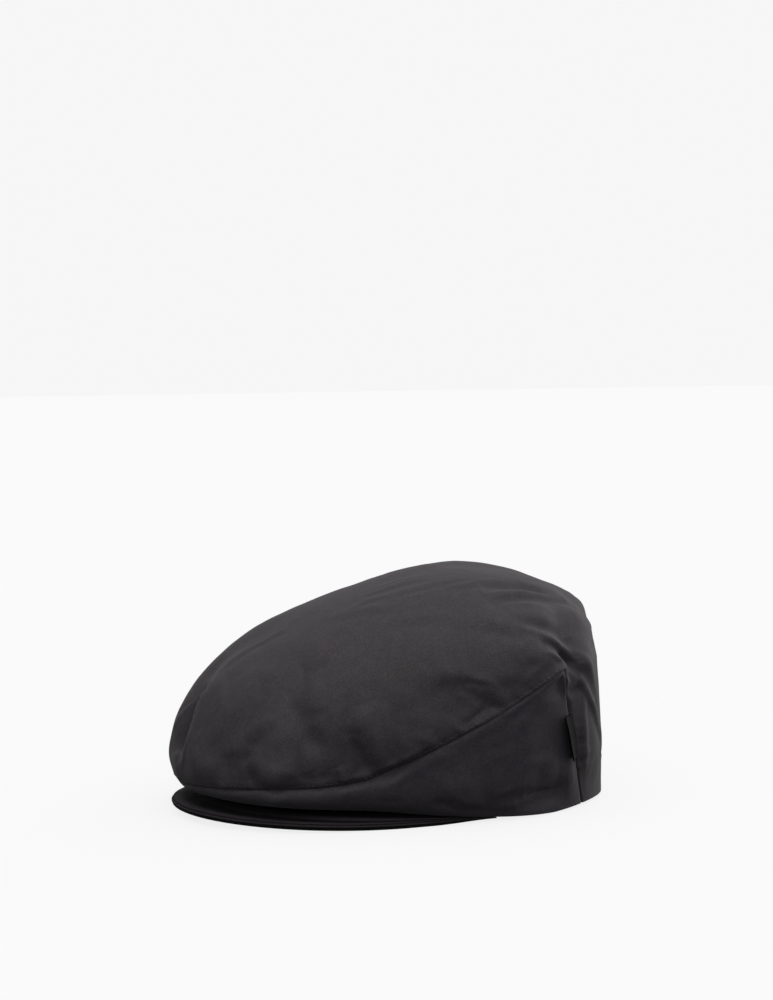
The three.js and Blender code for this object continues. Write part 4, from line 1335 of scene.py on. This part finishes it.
# the peak's cover: the same cloth, drawn tight over the board; its near-black colour is painted shade, for
# the crown's shadow over it, and its lighter crest colour is painted light on the rim
peak_cotton_painted_shade = waxed_cotton(
    "waxed_cotton_peak_painted_shade",
    linear("#0c0b0c"), linear("#0e0c0d"), linear("#343034"),
    roughness=0.7, grain=0.14, weave_mm=0.06, sheen=0.01, shine=0.1,
)
crown.data.materials.append(crown_cotton)
side_left.data.materials.append(side_cotton)
side_right.data.materials.append(side_cotton)
peak.data.materials.append(peak_cotton_painted_shade)
print(crown_cotton.name, "has", len(crown_cotton.node_tree.nodes), "nodes")

# %% [markdown]
# ## Thread and ribbon
# The topstitching is spun polyester thread, which is a little hairy and has a faint gloss. The tab
# is a grosgrain ribbon of the same fibre, with fine ribs across it, and quite matt. Both are made
# alike: a fine noise stands for the loose fibres, and the ribbon gets its ribs as well.

# %% Spin the thread and weave the ribbon
FIBRES_PER_MM = 1.4       # how close together the loose fibres bunch
RIB_MM = 0.9              # real spacing of the ribs


def spun(name, colour, roughness, sheen, shine, ribs_mm=None):
    """Spun fibres, with ribs so many mm apart where they are woven into a ribbon."""
    made = bpy.data.materials.new(name)
    made.use_nodes = True
    tree = made.node_tree
    shader = tree.nodes["Principled BSDF"]
    solid = add(tree, "TexCoord").outputs["Object"]
    fibres = {"Vector": solid, "Scale": 1000 * FIBRES_PER_MM, "Detail": 2.0}
    fuzz = add(tree, "TexNoise", fibres).outputs["Fac"]
    limits = {"Value": fuzz, "From Min": 0.3, "From Max": 0.7, "To Min": 0.8, "To Max": 1.25}
    tone = add(tree, "MapRange", limits).outputs["Result"]
    toned = add(tree, "Mix", {6: colour, 7: tone, 0: 1.0}, data_type="RGBA", blend_type="MULTIPLY")
    tree.links.new(toned.outputs[2], shader.inputs["Base Color"])
    height = fuzz
    if ribs_mm:
        flat = add(tree, "UVMap", uv_map="UVMap").outputs["UV"]
        bands = {"Vector": flat, "Scale": bands_for(ribs_mm)}
        ribs = add(tree, "TexWave", bands, bands_direction="X").outputs["Fac"]
        height = add(tree, "Math", {0: ribs, 1: height}, operation="ADD").outputs["Value"]
    bump = add(tree, "Bump", {"Height": height, "Strength": 0.5, "Distance": 0.12 * MM})
    tree.links.new(bump.outputs["Normal"], shader.inputs["Normal"])
    shader.inputs["Roughness"].default_value = roughness
    shader.inputs["Sheen Weight"].default_value = sheen
    shader.inputs["Specular IOR Level"].default_value = shine
    return made


thread = spun("spun_polyester_thread", linear("#2b282b"), roughness=0.5, sheen=0.1, shine=0.3)
ribbon = spun("grosgrain_ribbon", linear("#080708"), roughness=0.65, sheen=0.0, shine=0.08, ribs_mm=RIB_MM)
topstitching.data.materials.append(thread)
tab.data.materials.append(ribbon)
print(thread.name, "and", ribbon.name)

# %% [markdown]
# ## Say what each piece is
# Each dressed piece stands for one plain piece, which is then hidden, and all ride on one root. The
# three panels and the ribbon are cloth, and how each is held is printed. The last line prints the
# names of the dressed pieces.

# %% Name the cloth
for panel, held, lies_on, sewn_on in (
    (crown, "draped", [side_left, side_right], [topstitching]),
    (side_left, "draped", [peak], []),
    (side_right, "draped", [peak], []),
    (tab, "folded", [side_left], []),
):
    print(panel.name, "is", held)

# %% Say what each piece rides on and replaces
for piece in (crown, side_left, side_right, topstitching, peak, tab):
    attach(piece, "root")
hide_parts("crown_panel")
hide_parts("side_panel_left")
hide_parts("side_panel_right")
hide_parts("peak")
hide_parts("seam_tab")
print("pieces:", [piece.name for piece in (crown, side_left, side_right, topstitching, peak, tab)])
